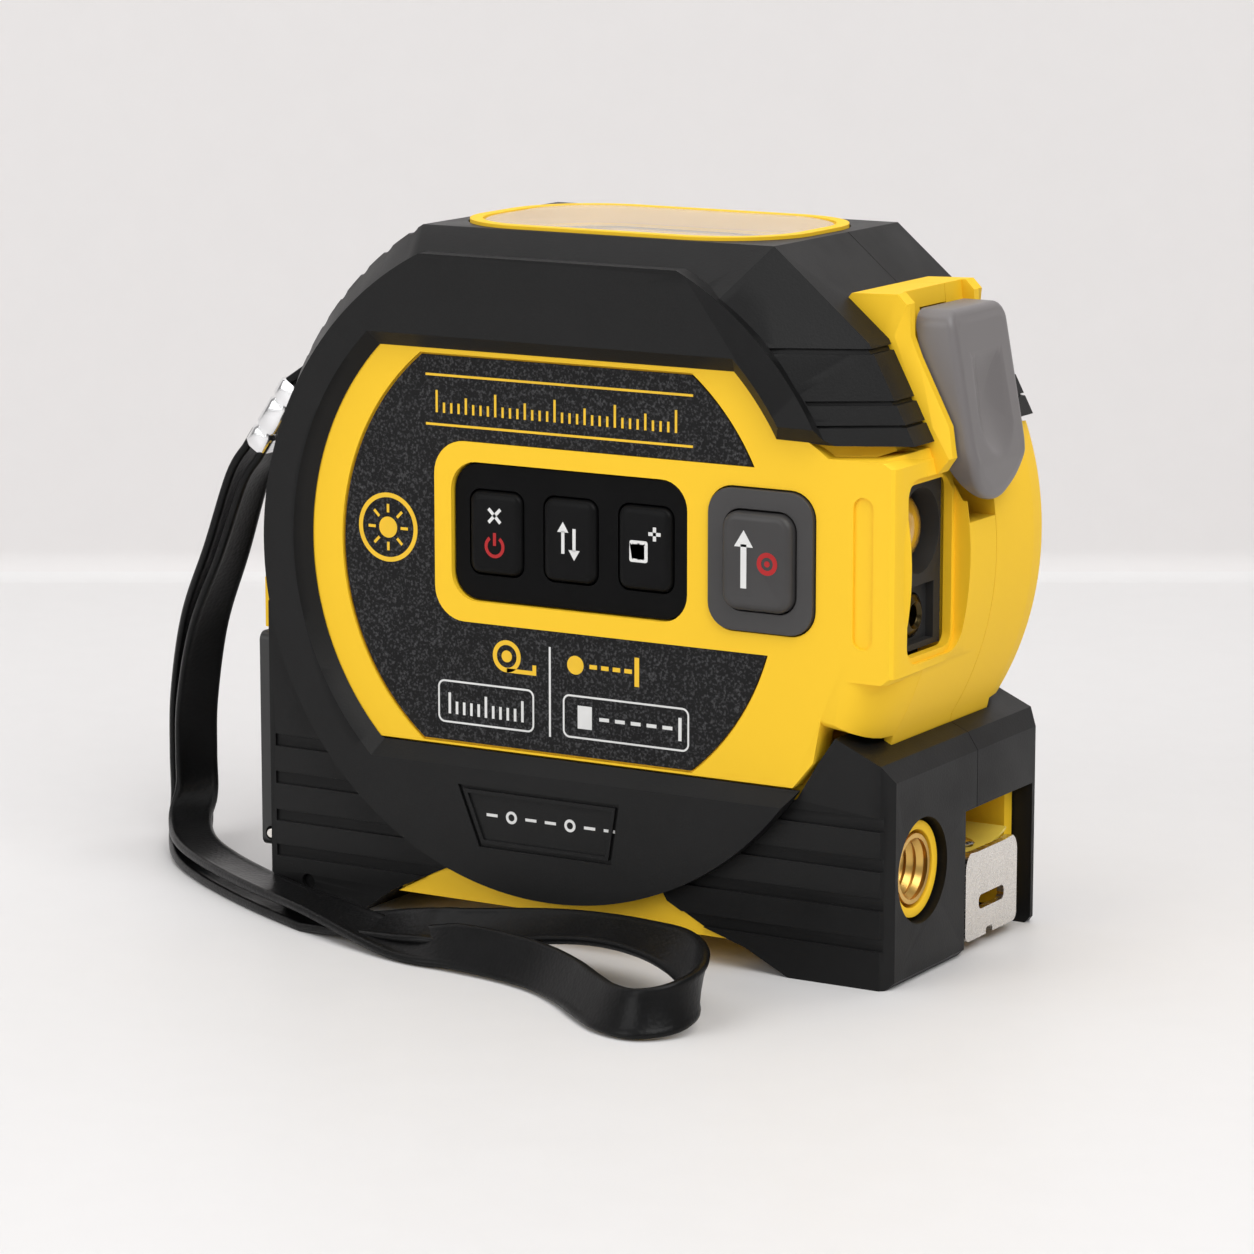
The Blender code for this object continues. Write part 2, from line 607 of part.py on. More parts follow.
def left_openings():
    """What is cut through the left half: keys, optics slot, lock slot, battery bay and threaded insert."""
    outside = -30 * MM
    inner = -CAVITY_HALF + 2 * MM
    pad = rounded_box(PAD_REAR - GAP, PAD_FRONT + GAP, PAD_LOW - GAP, PAD_HIGH + GAP, PAD_CORNER + GAP, 4)
    plate_hole = centred_box(MEASURE_X, KEYS_Z, PLATE_WIDTH + 2 * GAP, PLATE_HEIGHT + 2 * GAP, PLATE_CORNER,
                             4)
    slot_y = (SLOT_Y - SLOT_HALF, SLOT_Y + SLOT_HALF)
    slot = rounded_box(slot_y[0], slot_y[1], SLOT_LOW, SLOT_HIGH, 1.2 * MM, 3)
    return [
        plate("pad_hole", pad, outside, inner),
        plate("plate_hole", plate_hole, outside, inner),
        plate("slot", slot, nose(5.5), 60 * MM, "YZ"),
        block("optics_bay", 20 * MM, BOSS_X - 1.6 * MM, slot_y[0] - 0.3 * MM, slot_y[1] + 0.6 * MM,
              -9.4 * MM, 12.4 * MM),
        block("neck_slot", 28 * MM, 46 * MM, LOCK_Y - LOCK_NECK_HALF - 0.4 * MM, SEAM_Y + 1 * MM, 6 * MM,
              30 * MM),
        block("cell_way", -60 * MM, -30 * MM, CELL_Y - 6.2 * MM, CELL_Y + 6.2 * MM,
              CELL_LOW_Z - CELL_RADIUS - 0.4 * MM, CELL_LOW_Z + CELL_PITCH + CELL_RADIUS + 0.4 * MM),
        rod("hinge_groove", 2.4 * MM, (DOOR_HINGE_X, DOOR_NEAR - 0.6 * MM, DOOR_HINGE_Z),
            DOOR_FAR - DOOR_NEAR + 1.2 * MM, "Y", 16),
        rod("insert_bore", INSERT_RADIUS + GAP / 3, (30.5 * MM, INSERT_Y, INSERT_Z), 30 * MM, "X", 32),
        *strap_notch(),
    ]


def strap_notch():
    """The notch in the upper rear of the left half, with the two ends of the hole for its pin."""
    return [block("strap_notch", -60 * MM, -36.8 * MM, STRAP_Y - 3.2 * MM, STRAP_Y + 3.2 * MM,
                  STRAP_PIN_Z - 4 * MM, STRAP_PIN_Z + 3.2 * MM),
            rod("pin_hole", STRAP_PIN + GAP / 3, (STRAP_PIN_X, STRAP_Y - 4.7 * MM, STRAP_PIN_Z), 9.4 * MM,
                "Y", 12)]


def build_grip(side, cutters):
    """The soft overmould: the side disc's ring, its lower part and the shoulder over the top."""
    sign = side_sign(side)
    crown = crown_form(f"grip_{side}", side, 0.0, 0)
    above = [(70 * MM, RING_END), (70 * MM, 60 * MM), (-70 * MM, 60 * MM), (-70 * MM, -4.6 * MM),
             (0, -4.6 * MM), (0, RING_END)]
    boolean(crown, "INTERSECT", [plate("above", above, -40 * MM, 40 * MM)], cutters)
    settle(crown, cutters)
    rim = plate("rim", disc_outline(), sign * (FOOT_HALF + GAP), sign * HALF_WIDTH)
    boolean(crown, "UNION", [rim], cutters)
    settle(crown, cutters)
    opening = clipped_disc(PANEL_RADIUS, -PANEL_CUT, PANEL_CUT, 15)
    opening = [p for p in opening if p[0] < 0 or p[1] > RING_END] + [(70 * MM, -PANEL_CUT),
                                                                     (70 * MM, RING_END)]
    opening = sorted(opening, key=lambda p: math.atan2(p[1], p[0]))
    cut = loft("panel_opening", [(sign * 10 * MM, opening), (sign * PANEL_HALF, opening),
                                 (sign * (HALF_WIDTH + 0.2 * MM), grown(opening, RING_BEVEL))])
    cuts = [case_form(side, GAP * 1.3, cutters), cut, *grip_openings(side)]
    return boolean(crown, "DIFFERENCE", cuts, cutters)


def grip_openings(side):
    bezel = rounded_box(BEZEL_REAR - GAP, BEZEL_FRONT + GAP, -BEZEL_HALF - GAP, BEZEL_HALF + GAP,
                        BEZEL_CORNER, 6)
    cuts = [plate("bezel_hole", bezel, 30 * MM, 50 * MM, "XY"),
            plate("lock_way", lock_pocket(), LOCK_Y - LOCK_HALF - 0.4 * MM, LOCK_Y + LOCK_HALF + 0.4 * MM)]
    if side == "left":
        cuts += strap_notch()
    else:
        for index, (x, z) in enumerate(SCREW_SPOTS):
            cuts.append(rod(f"grip_way_{index}", SCREW_HEAD + GAP, (x, 9.6 * MM, z), 30 * MM, "Y", 18))
    return cuts


def build_feet(side, cutters):
    """The black caps over the nose and the tail."""
    sign = side_sign(side)
    far = sign * FOOT_HALF
    front = plate(f"front_foot_{side}", front_foot_outline(), seam(side), far)
    rear = plate(f"rear_foot_{side}", rear_foot_outline(), seam(side), far)
    form = case_form(side, GAP, cutters)
    mouth = block("foot_mouth", nose(7.5), 60 * MM, MOUTH_LOW_Y, CORE_HALF + GAP, -60 * MM, MOUTH_TOP)
    front_cuts = [form, mouth]
    rear_cuts = [form]
    if side == "left":
        front_cuts.append(rod("insert_hole", INSERT_HOLE, (30 * MM, INSERT_Y, INSERT_Z), 30 * MM, "X", 32))
        rear_cuts += [left_openings()[5], left_openings()[6]]
    else:
        for index, foot in ((2, rear_cuts), (3, front_cuts)):
            x, z = SCREW_SPOTS[index]
            foot.append(rod(f"foot_way_{index}", SCREW_HEAD + GAP, (x, 9.7 * MM, z), 30 * MM, "Y", 16))
    return [boolean(front, "DIFFERENCE", front_cuts, cutters),
            boolean(rear, "DIFFERENCE", rear_cuts, cutters)]


# Display

def build_display(cutters):
    outer = rounded_box(BEZEL_REAR, BEZEL_FRONT, -BEZEL_HALF, BEZEL_HALF, BEZEL_CORNER, 7)
    inner = rounded_box(BEZEL_REAR + BEZEL_RIM, BEZEL_FRONT - BEZEL_RIM, -BEZEL_HALF + BEZEL_RIM,
                        BEZEL_HALF - BEZEL_RIM, BEZEL_CORNER - BEZEL_RIM, 7)
    low = CROWN_TOP - SKIN
    bezel = plate("display_bezel", [outer, inner], low, CROWN_TOP + DOME, "XY")
    pane = grown(inner, -GAP)
    window = plate("display_window", pane, low + GAP, CROWN_TOP + DOME * 0.6, "XY")
    dome = plate("window_dome", grown(pane, -1.2 * MM), CROWN_TOP, CROWN_TOP + DOME, "XY")
    boolean(window, "UNION", [dome], cutters)
    panel = block("display_panel", BEZEL_REAR + 3.4 * MM, BEZEL_FRONT - 3.4 * MM, -SCREEN_HALF, SCREEN_HALF,
                  low - 2.6 * MM, low - 0.3 * MM)
    return [bezel, window, panel]


# Keys

def build_keypad(cutters):
    pad = rounded_box(PAD_REAR, PAD_FRONT, PAD_LOW, PAD_HIGH, PAD_CORNER, 4)
    face = -(PANEL_HALF - PAD_SINK)
    mat = plate("keypad_mat", pad, face, -(CAVITY_HALF - 0.7 * MM))
    flange = plate("mat_flange", grown(pad, 1.2 * MM), -(CAVITY_HALF - GAP), -(CAVITY_HALF - 0.9 * MM))
    boolean(mat, "UNION", [flange], cutters)
    keys = []
    for index in range(3):
        x = key_x(index)
        hole = centred_box(x, KEYS_Z, KEY_WIDTH + 2 * GAP, KEY_HEIGHT + 2 * GAP, KEY_CORNER + GAP)
        boolean(mat, "DIFFERENCE", [plate(f"key_hole_{index + 1}", hole, -30 * MM, 0)], cutters)
        back = -(BOARD_FACE + SWITCH_RISE + KEY_STROKE + 0.05 * MM)
        key = plate(f"key_{index + 1}", centred_box(x, KEYS_Z, KEY_WIDTH, KEY_HEIGHT, KEY_CORNER),
                    face - KEY_RISE, back)
        lip = plate(f"key_lip_{index + 1}", centred_box(x, KEYS_Z, KEY_WIDTH + 1.6 * MM,
                                                        KEY_HEIGHT + 1.6 * MM,
                                                      KEY_CORNER), back - 0.4 * MM, back)
        keys.append(boolean(key, "UNION", [lip], cutters))
    return [mat, *keys]


def build_measure(cutters):
    hole = centred_box(MEASURE_X, KEYS_Z, MEASURE_WIDTH + 2 * GAP, MEASURE_HEIGHT + 2 * GAP, 2.3 * MM)
    rim = centred_box(MEASURE_X, KEYS_Z, PLATE_WIDTH, PLATE_HEIGHT, PLATE_CORNER)
    plug = plate("measure_bezel", [rim, hole], -(PANEL_HALF + PLATE_RISE), -(PANEL_HALF - 3.1 * MM))
    back = -(BOARD_FACE + SWITCH_RISE + KEY_STROKE + 0.05 * MM)
    button = plate("measure_button", centred_box(MEASURE_X, KEYS_Z, MEASURE_WIDTH, MEASURE_HEIGHT, 2.0 * MM),
                   -(PANEL_HALF + MEASURE_RISE), back)
    lip = plate("measure_lip", centred_box(MEASURE_X, KEYS_Z, MEASURE_WIDTH + 1.6 * MM,
                                           MEASURE_HEIGHT + 1.6 * MM,
                                           2.0 * MM), back - 0.35 * MM, back)
    return [plug, boolean(button, "UNION", [lip], cutters)]


def build_board(cutters):
    outline = [(-27 * MM, -9 * MM), (-22 * MM, -14 * MM), (24 * MM, -14 * MM), (31 * MM, -9 * MM),
               (31 * MM, 10.5 * MM), (21 * MM, 22 * MM), (-20 * MM, 22 * MM), (-27 * MM, 14 * MM)]
    board = plate("main_board", outline, -BOARD_FACE, -BOARD_FACE + BOARD_THICK)
    chip = block("board_chip", -6 * MM, 4 * MM, -BOARD_FACE + BOARD_THICK - 0.2 * MM,
                 -BOARD_FACE + BOARD_THICK + 1.2 * MM, 8 * MM, 16 * MM)
    boolean(board, "UNION", [chip], cutters)
    switches = []
    for index, x in enumerate((key_x(0), key_x(1), key_x(2), MEASURE_X)):
        body = block(f"switch_{index + 1}", x - 2.2 * MM, x + 2.2 * MM, -BOARD_FACE - 0.3 * MM - 0.05 * MM,
                     -BOARD_FACE - 0.05 * MM, KEYS_Z - 2.2 * MM, KEYS_Z + 2.2 * MM)
        stem = rod(f"switch_stem_{index + 1}", 1.1 * MM, (x, -BOARD_FACE - SWITCH_RISE + 0.05 * MM, KEYS_Z),
                   0.5 * MM, "Y", 16)
        switches.append(boolean(body, "UNION", [stem], cutters))
    return [board, *switches]


# Optics

def build_optics(cutters):
    frame = block("optics_frame", nose(7), BOSS_X - 1.8 * MM, SLOT_Y - SLOT_HALF + GAP,
                  SLOT_Y + SLOT_HALF - GAP,
                  SLOT_LOW + GAP, SLOT_HIGH - GAP)
    holes = [rod("lens_hole", LENS_RADIUS + GAP, (30 * MM, SLOT_Y, LENS_Z), 20 * MM, "X", 32),
             rod("beam_hole", BEAM_RADIUS + GAP, (30 * MM, SLOT_Y, BEAM_Z), 20 * MM, "X", 24)]
    boolean(frame, "DIFFERENCE", holes, cutters)
    lens = turned("receiver_lens", [(0, 4.6 * MM), (2.0 * MM, 4.4 * MM), (3.6 * MM, 3.8 * MM),
                                    (LENS_RADIUS, 3.2 * MM), (LENS_RADIUS, 0), (0, 0)],
                  (nose(6.1), SLOT_Y, LENS_Z), "X", 28)
    tube = turned("laser_tube", [(0, 9.6 * MM), (1.2 * MM, 9.6 * MM), (1.7 * MM, 8.8 * MM),
                                 (1.7 * MM, 8.8 * MM),
                                 (BEAM_RADIUS, 9.2 * MM), (BEAM_RADIUS, 0), (0, 0)],
                  (nose(11.3), SLOT_Y, BEAM_Z), "X", 24)
    return [frame, lens, tube]


# Tape

def blade_section(thickness, width=BLADE_WIDTH, crown=BLADE_CROWN, count=9):
    """The hollow-backed section of the steel tape, as (y, z) points."""
    shares = [-1 + 2 * i / (count - 1) for i in range(count)]
    low = [(BLADE_Y + s * width / 2, BLADE_Z - thickness / 2 + crown * s * s) for s in shares]
    high = [(y, z + thickness) for y, z in reversed(low)]
    return low + high


def spiral(inner, outer, turns, thickness, count):
    """A flat band wound from an inner radius to an outer one, as (x, z) points about the reel's axis."""
    steps = [i / (count - 1) for i in range(count)]
    path = [(inner + (outer - inner) * t, 2 * math.pi * turns * t) for t in steps]
    there = [((r + thickness / 2) * math.cos(a), (r + thickness / 2) * math.sin(a)) for r, a in path]
    back = [((r - thickness / 2) * math.cos(a), (r - thickness / 2) * math.sin(a)) for r, a in reversed(path)]
    reel_z = BLADE_Z + COIL_RADIUS + GAP
    return [(REEL_X + x, reel_z + z) for x, z in there + back]


def build_reel(cutters):
    reel_z = BLADE_Z + COIL_RADIUS + GAP
    low_y = BLADE_Y - BLADE_WIDTH / 2
    high_y = BLADE_Y + BLADE_WIDTH / 2
    coil = plate("tape_coil", [arc(REEL_X, reel_z, COIL_RADIUS, 0, 352.5, 48),
                               arc(REEL_X, reel_z, HUB_RADIUS + GAP, 0, 352.5, 48)], low_y, high_y)
    drum = turned("tape_drum", [
        (AXLE_RADIUS + GAP, 1.6 * MM), (HUB_RADIUS - HUB_WALL, 1.6 * MM), (HUB_RADIUS - HUB_WALL,
                                                                           BLADE_WIDTH),
        (HUB_RADIUS, BLADE_WIDTH), (HUB_RADIUS, 0), (AXLE_RADIUS + GAP, 0), (AXLE_RADIUS + GAP, 1.6 * MM)],
        (REEL_X, low_y, reel_z), "Y", 48)
    length = AXLE_TIP_Y - (low_y - GAP)
    axle = turned("drum_axle", [
        (0, length), (AXLE_RADIUS, length), (AXLE_RADIUS, 0), (4.4 * MM, 0), (4.4 * MM, -0.9 * MM),
        (0, -0.9 * MM)], (REEL_X, low_y - GAP, reel_z), "Y", 24)
    spring = plate("power_spring", spiral(AXLE_RADIUS + 1.2 * MM, HUB_RADIUS - HUB_WALL - 0.9 * MM, 5,
                                          0.8 * MM, 90),
                   low_y + 2.2 * MM, high_y - 1.2 * MM)
    blade = plate("tape_blade", blade_section(BLADE_THICK), REEL_X + 10 * MM, HOOK_X - 0.4 * MM, "YZ")
    rivets = []
    for index, x in enumerate(RIVET_SPOTS):
        hole = rod(f"rivet_hole_{index + 1}", RIVET_RADIUS + GAP, (x, BLADE_Y, BLADE_Z - 3 * MM), 6 * MM,
                   "Z", 16)
        boolean(blade, "DIFFERENCE", [hole], cutters)
        rivets.append(turned(f"hook_rivet_{index + 1}", [
            (0, 1.0 * MM), (1.2 * MM, 0.9 * MM), (1.5 * MM, 0.5 * MM), (RIVET_RADIUS, 0.5 * MM),
            (RIVET_RADIUS, -2.0 * MM), (0, -2.0 * MM)], (x, BLADE_Y, BLADE_Z), "Z", 16))
    return [coil, drum, axle, spring, blade, *rivets]


def build_hook(cutters):
    low_y = BLADE_Y - HOOK_WIDTH / 2
    high_y = BLADE_Y + HOOK_WIDTH / 2
    face = rounded_box(low_y, high_y, HOOK_LOW, BLADE_Z + 0.6 * MM, 1.4 * MM, 4)
    hook = plate("end_hook", face, HOOK_X, HOOK_X + HOOK_THICK, "YZ")
    tang = block("hook_tang", HOOK_X - 10.4 * MM, HOOK_X + 0.4 * MM, BLADE_Y - 3.6 * MM, BLADE_Y + 3.6 * MM,
                 BLADE_Z - 1.4 * MM, BLADE_Z - 0.6 * MM)
    slots = [block("hook_slot", 30 * MM, 50 * MM, BLADE_Y - HOOK_SLOT[0] / 2, BLADE_Y + HOOK_SLOT[0] / 2,
                   HOOK_LOW + 3.4 * MM, HOOK_LOW + 3.4 * MM + HOOK_SLOT[1])]
    for index, x in enumerate(RIVET_SPOTS):
        slots.append(block(f"tang_slot_{index + 1}", x - HOOK_PLAY - RIVET_RADIUS - 0.15 * MM,
                           x + RIVET_RADIUS + 0.15 * MM, BLADE_Y - RIVET_RADIUS - 0.2 * MM,
                           BLADE_Y + RIVET_RADIUS + 0.2 * MM, BLADE_Z - 2 * MM, BLADE_Z + 0.2 * MM))
    boolean(hook, "UNION", [tang], cutters)
    return boolean(hook, "DIFFERENCE", slots, cutters)


# Thumb lock

def build_lock(cutters):
    profile = [(nose(3.6), 30.5 * MM), (nose(-1.1), 29.4 * MM), (LOCK_REACH, 13.5 * MM),
               (nose(-2.8), 9.0 * MM), (nose(-1.5), 10.5 * MM), (nose(1.1), 16.0 * MM), (nose(2.9), 22.0 * MM)]
    slider = plate("lock_slider", profile, LOCK_Y - LOCK_HALF, LOCK_Y + LOCK_HALF)
    face = (arc(LOCK_Y, 8.4 * MM + LOCK_HALF, LOCK_HALF, 180, 360, 11)
            + [(LOCK_Y + LOCK_HALF, 40 * MM), (LOCK_Y - LOCK_HALF, 40 * MM)])
    boolean(slider, "INTERSECT", [plate("lock_face", face, 30 * MM, 60 * MM, "YZ")], cutters)
    settle(slider, cutters)
    neck = block("lock_neck", nose(7.5), nose(0.1), LOCK_Y - LOCK_NECK_HALF + 0.3 * MM,
                 LOCK_Y + LOCK_NECK_HALF - 0.3 * MM, 13.0 * MM, 19.0 * MM)
    boolean(slider, "UNION", [neck], cutters)
    dish = rod("thumb_dish", 6.0 * MM, (LOCK_REACH - 1.9 * MM, LOCK_Y, 20.6 * MM), 6 * MM, "X", 24, 6.6 * MM)
    boolean(slider, "DIFFERENCE", [dish], cutters)
    near = LOCK_Y - LOCK_NECK_HALF + 0.3 * MM
    arm = block("brake_arm", nose(10.5), nose(7.8), near, LOCK_Y + LOCK_NECK_HALF - 0.3 * MM, -13 * MM,
                19.0 * MM)
    step = block("arm_step", nose(10.5), nose(7.8), near, 9 * MM, -14 * MM, -9 * MM)
    shoe = block("arm_shoe", nose(10.5), nose(7.8), 5 * MM, 9 * MM, -33.4 * MM, -9.5 * MM)
    boolean(arm, "UNION", [step, shoe], cutters)
    return [slider, arm]


# Threaded insert

def build_insert():
    insert = turned("tripod_insert", [
        (INSERT_BORE, INSERT_LENGTH), (INSERT_RADIUS, INSERT_LENGTH), (INSERT_RADIUS, 0), (INSERT_BORE, 0),
        (INSERT_BORE, INSERT_LENGTH)], (NOSE_X - 1.2 * MM - INSERT_LENGTH, INSERT_Y, INSERT_Z), "X", 32)
    collar = turned("insert_collar", [
        (INSERT_RADIUS + 0.4 * MM, 1.5 * MM), (COLLAR_RADIUS, 1.5 * MM), (COLLAR_RADIUS, 0),
        (INSERT_RADIUS + 0.4 * MM, 0), (INSERT_RADIUS + 0.4 * MM, 1.5 * MM)],
        (NOSE_X - SKIN, INSERT_Y, INSERT_Z), "X", 32)
    return [insert, collar]


# Batteries

def build_power(cutters):
    cells = []
    for index in range(2):
        z = CELL_LOW_Z + index * CELL_PITCH
        cells.append(turned(f"battery_cell_{index + 1}", [
            (0, CELL_LENGTH), (1.9 * MM, CELL_LENGTH), (1.9 * MM, CELL_LENGTH - 1.0 * MM),
            (CELL_RADIUS - 0.6 * MM, CELL_LENGTH - 1.0 * MM), (CELL_RADIUS, CELL_LENGTH - 1.6 * MM),
            (CELL_RADIUS, 0), (0, 0)], (CELL_REAR, CELL_Y, z), "X", 28))
    front = CELL_REAR + CELL_LENGTH + 0.4 * MM
    contact = block("contact_plate", front, front + 0.6 * MM, CELL_Y - CELL_RADIUS + 0.3 * MM,
                    CELL_Y + CELL_RADIUS - 0.3 * MM, CELL_LOW_Z - 4 * MM, CELL_LOW_Z + CELL_PITCH + 4 * MM)
    door = plate("battery_door", rounded_box(DOOR_NEAR, DOOR_FAR, DOOR_LOW, DOOR_HIGH, 1.0 * MM, 3),
                 -DOOR_REACH, -DOOR_REACH + DOOR_THICK, "YZ")
    length = DOOR_FAR - DOOR_NEAR
    knuckle = rod("door_knuckle", 1.4 * MM, (DOOR_HINGE_X, DOOR_NEAR + 1.5 * MM, DOOR_HINGE_Z),
                  length - 3 * MM, "Y", 20)
    bore = rod("pin_bore", HINGE_PIN + GAP, (DOOR_HINGE_X, DOOR_NEAR - 3 * MM, DOOR_HINGE_Z), length + 6 * MM,
               "Y", 16)
    boolean(door, "UNION", [knuckle], cutters)
    boolean(door, "DIFFERENCE", [bore], cutters)
    pin = rod("door_pin", HINGE_PIN, (DOOR_HINGE_X, DOOR_NEAR - 0.3 * MM, DOOR_HINGE_Z), length + 0.6 * MM,
              "Y", 16)
    return [*cells, contact, door, pin]


def build_screws():
    screws = []
    for index, (x, z) in enumerate(SCREW_SPOTS):
        start = 12.0 * MM if index < 2 else 11.0 * MM
        screws.append(turned(f"case_screw_{index + 1}", [
            (0, 1.6 * MM), (SCREW_HEAD - 0.5 * MM, 1.6 * MM), (SCREW_HEAD, 0.9 * MM), (SCREW_HEAD, 0),
            (SCREW_RADIUS, 0), (SCREW_RADIUS, -16.0 * MM), (0, -16.5 * MM)], (x, start, z), "Y", 16))
    return screws


# Wrist strap

def smooth_route(points, step):
    """Points about a step apart along a smooth curve through the route's points."""
    route = [points[0], *points, points[-1]]
    found = []
    for a, b, c, d in zip(route, route[1:], route[2:], route[3:]):
        count = max(1, round(math.dist(b, c) / step))
        for i in range(count):
            t = i / count
            found.append(tuple(0.5 * (2 * q + (r - p) * t + (2 * p - 5 * q + 4 * r - s) * t * t
                                      + (3 * q - p - 3 * r + s) * t ** 3) for p, q, r, s in zip(a, b, c, d)))
    return found + [points[-1]]


def tube(name, points, radius):
    curve = bpy.data.curves.new(name, "CURVE")
    curve.dimensions = "3D"
    curve.bevel_depth = radius
    curve.bevel_resolution = 2
    curve.use_fill_caps = True
    spline = curve.splines.new("POLY")
    spline.points.add(len(points) - 1)
    for point, (x, y, z) in zip(spline.points, points):
        point.co = (AXIS_X + x, y, AXIS_Z + z, 1)
    return bpy.data.objects.new(name, curve)


def build_strap():
    pin = rod("strap_pin", STRAP_PIN, (STRAP_PIN_X, STRAP_Y - 4.4 * MM, STRAP_PIN_Z), 8.8 * MM, "Y", 12)
    reach = math.dist(CRIMP_START, CRIMP_END)
    along = ((CRIMP_END[0] - CRIMP_START[0]) / reach, (CRIMP_END[1] - CRIMP_START[1]) / reach)
    middle = [(a + b) / 2 for a, b in zip(CRIMP_START, CRIMP_END)]
    crimp = block("strap_crimp", -reach / 2, reach / 2, -STRAP_WIDTH / 2 - 0.4 * MM,
                  STRAP_WIDTH / 2 + 0.4 * MM,
                  -STRAP_THICK / 2 - 0.5 * MM, STRAP_THICK / 2 + 0.5 * MM)
    crimp.matrix_world = (Matrix.Translation((AXIS_X + middle[0], STRAP_Y, AXIS_Z + middle[1]))
                          @ Matrix.Rotation(-math.atan2(along[1], along[0]), 4, "Y"))
    lead = [(STRAP_PIN_X - STRAP_PIN - 1.6 * MM, STRAP_Y, STRAP_PIN_Z),
            (-43.2 * MM, STRAP_Y, 18.4 * MM),
            (CRIMP_START[0] - along[0] * 0.3 * MM, STRAP_Y, CRIMP_START[1] - along[1] * 0.3 * MM)]
    start = (CRIMP_END[0] + along[0] * 0.5 * MM, STRAP_Y, CRIMP_END[1] + along[1] * 0.5 * MM)
    run = [start, (start[0] + along[0] * 4.4 * MM, STRAP_Y, start[2] + along[1] * 4.4 * MM)]
    run += [(x * MM, y * MM, z * MM) for x, y, z in STRAP_ROUTE]
    return [pin, crimp, tube("strap_lead", smooth_route(lead, 1.5 * MM), STRAP_WIDTH * 0.24),
            tube("wrist_strap", smooth_route(run, STRAP_WIDTH * 0.6), STRAP_WIDTH / 2)]


# Assembly

def label_plate(side):
    sign = side_sign(side)
    return plate(f"label_{side}", label_outline(side == "left"), sign * PANEL_HALF,
                 sign * (PANEL_HALF - LABEL_THICK))


def palette():
    """Each material's parts, by the start of their names."""
    return (
        (make_material("case_yellow", (0.95, 0.58, 0.01), 0.42),
         ("housing", "display_bezel", "insert_collar")),
        (make_material("grip_rubber", (0.022, 0.022, 0.022), 0.72), ("grip", "front_foot", "rear_foot")),
        (make_material("label_film", (0.03, 0.03, 0.032), 0.38), ("label",)),
        (make_material("key_rubber", (0.028, 0.028, 0.03), 0.6), ("keypad_mat", "key_")),
        (make_material("measure_rubber", (0.085, 0.08, 0.08), 0.55), ("measure",)),
        (make_material("display_glass", (0.8, 0.78, 0.72), 0.08), ("display_window",)),
        (make_material("display_panel", (0.72, 0.74, 0.68), 0.25), ("display_panel",)),
        (make_material("board_laminate", (0.03, 0.17, 0.07), 0.5), ("main_board",)),
        (make_material("switch_metal", (0.5, 0.5, 0.52), 0.35, 1.0), ("switch",)),
        (make_material("optics_black", (0.012, 0.012, 0.012), 0.3), ("optics_frame", "laser_tube")),
        (make_material("lens_glass", (0.5, 0.22, 0.02), 0.06), ("receiver_lens",)),
        (make_material("lock_grey", (0.16, 0.15, 0.15), 0.5), ("lock_slider", "brake_arm")),
        (make_material("reel_plastic", (0.25, 0.26, 0.28), 0.5), ("tape_drum",)),
        (make_material("tape_steel", (0.9, 0.75, 0.2), 0.35), ("tape_coil", "tape_blade")),
        (make_material("plated_steel", (0.62, 0.6, 0.57), 0.3, 1.0),
         ("end_hook", "hook_rivet", "case_screw", "drum_axle", "door_pin", "strap_pin", "strap_crimp")),
        (make_material("spring_steel", (0.3, 0.3, 0.32), 0.35, 1.0), ("power_spring", "contact_plate")),
        (make_material("insert_brass", (0.72, 0.45, 0.12), 0.25, 1.0), ("tripod_insert",)),
        (make_material("cell_wrap", (0.1, 0.16, 0.34), 0.35), ("battery_cell",)),
        (make_material("door_black", (0.02, 0.02, 0.02), 0.6), ("battery_door",)),
        (make_material("strap_cord", (0.012, 0.012, 0.013), 0.85), ("strap_lead", "wrist_strap")),
    )


def hold(collection, name, position, parts):
    """An empty on a joint's axis, holding the parts that move about it."""
    empty = bpy.data.objects.new(name, None)
    x, y, z = position
    empty.matrix_world = Matrix.Translation((AXIS_X + x, y, AXIS_Z + z))
    empty.empty_display_size = 5 * MM
    collection.objects.link(empty)
    for part in parts:
        part.parent = empty
        part.matrix_parent_inverse = empty.matrix_world.inverted()


def main():
    clear_scene()
    collection = new_collection("laser_distance_meter")
    cutters = new_collection("cutters")
    parts = []
    for side in ("left", "right"):
        parts += [build_housing(side, cutters), build_grip(side, cutters), *build_feet(side, cutters),
                  label_plate(side)]
    parts += [*build_display(cutters), *build_keypad(cutters), *build_measure(cutters), *build_board(cutters),
              *build_optics(cutters), *build_reel(cutters), build_hook(cutters), *build_lock(cutters),
              *build_insert(), *build_power(cutters), *build_screws(), *build_strap()]
    named = {part.name: part for part in parts}
    for material, starts in palette():
        for part in parts:
            if part.name.startswith(starts):
                finish(part, material, collection)
    for part in parts:
        if part.type == "MESH":
            smooth(part)
    reel_z = BLADE_Z + COIL_RADIUS + GAP
    hold(collection, "drum_pivot", (REEL_X, BLADE_Y, reel_z), [named["tape_drum"], named["tape_coil"]])
    hold(collection, "door_pivot", (DOOR_HINGE_X, (DOOR_NEAR + DOOR_FAR) / 2, DOOR_HINGE_Z),
         [named["battery_door"]])
    hold(collection, "tape_slide", (HOOK_X, BLADE_Y, BLADE_Z),
         [named[n] for n in ("tape_blade", "hook_rivet_1", "hook_rivet_2", "end_hook")])
    hold(collection, "lock_slide", (LOCK_REACH, LOCK_Y, 20.6 * MM),
         [named["lock_slider"], named["brake_arm"]])


if __name__ == "__main__":
    main()
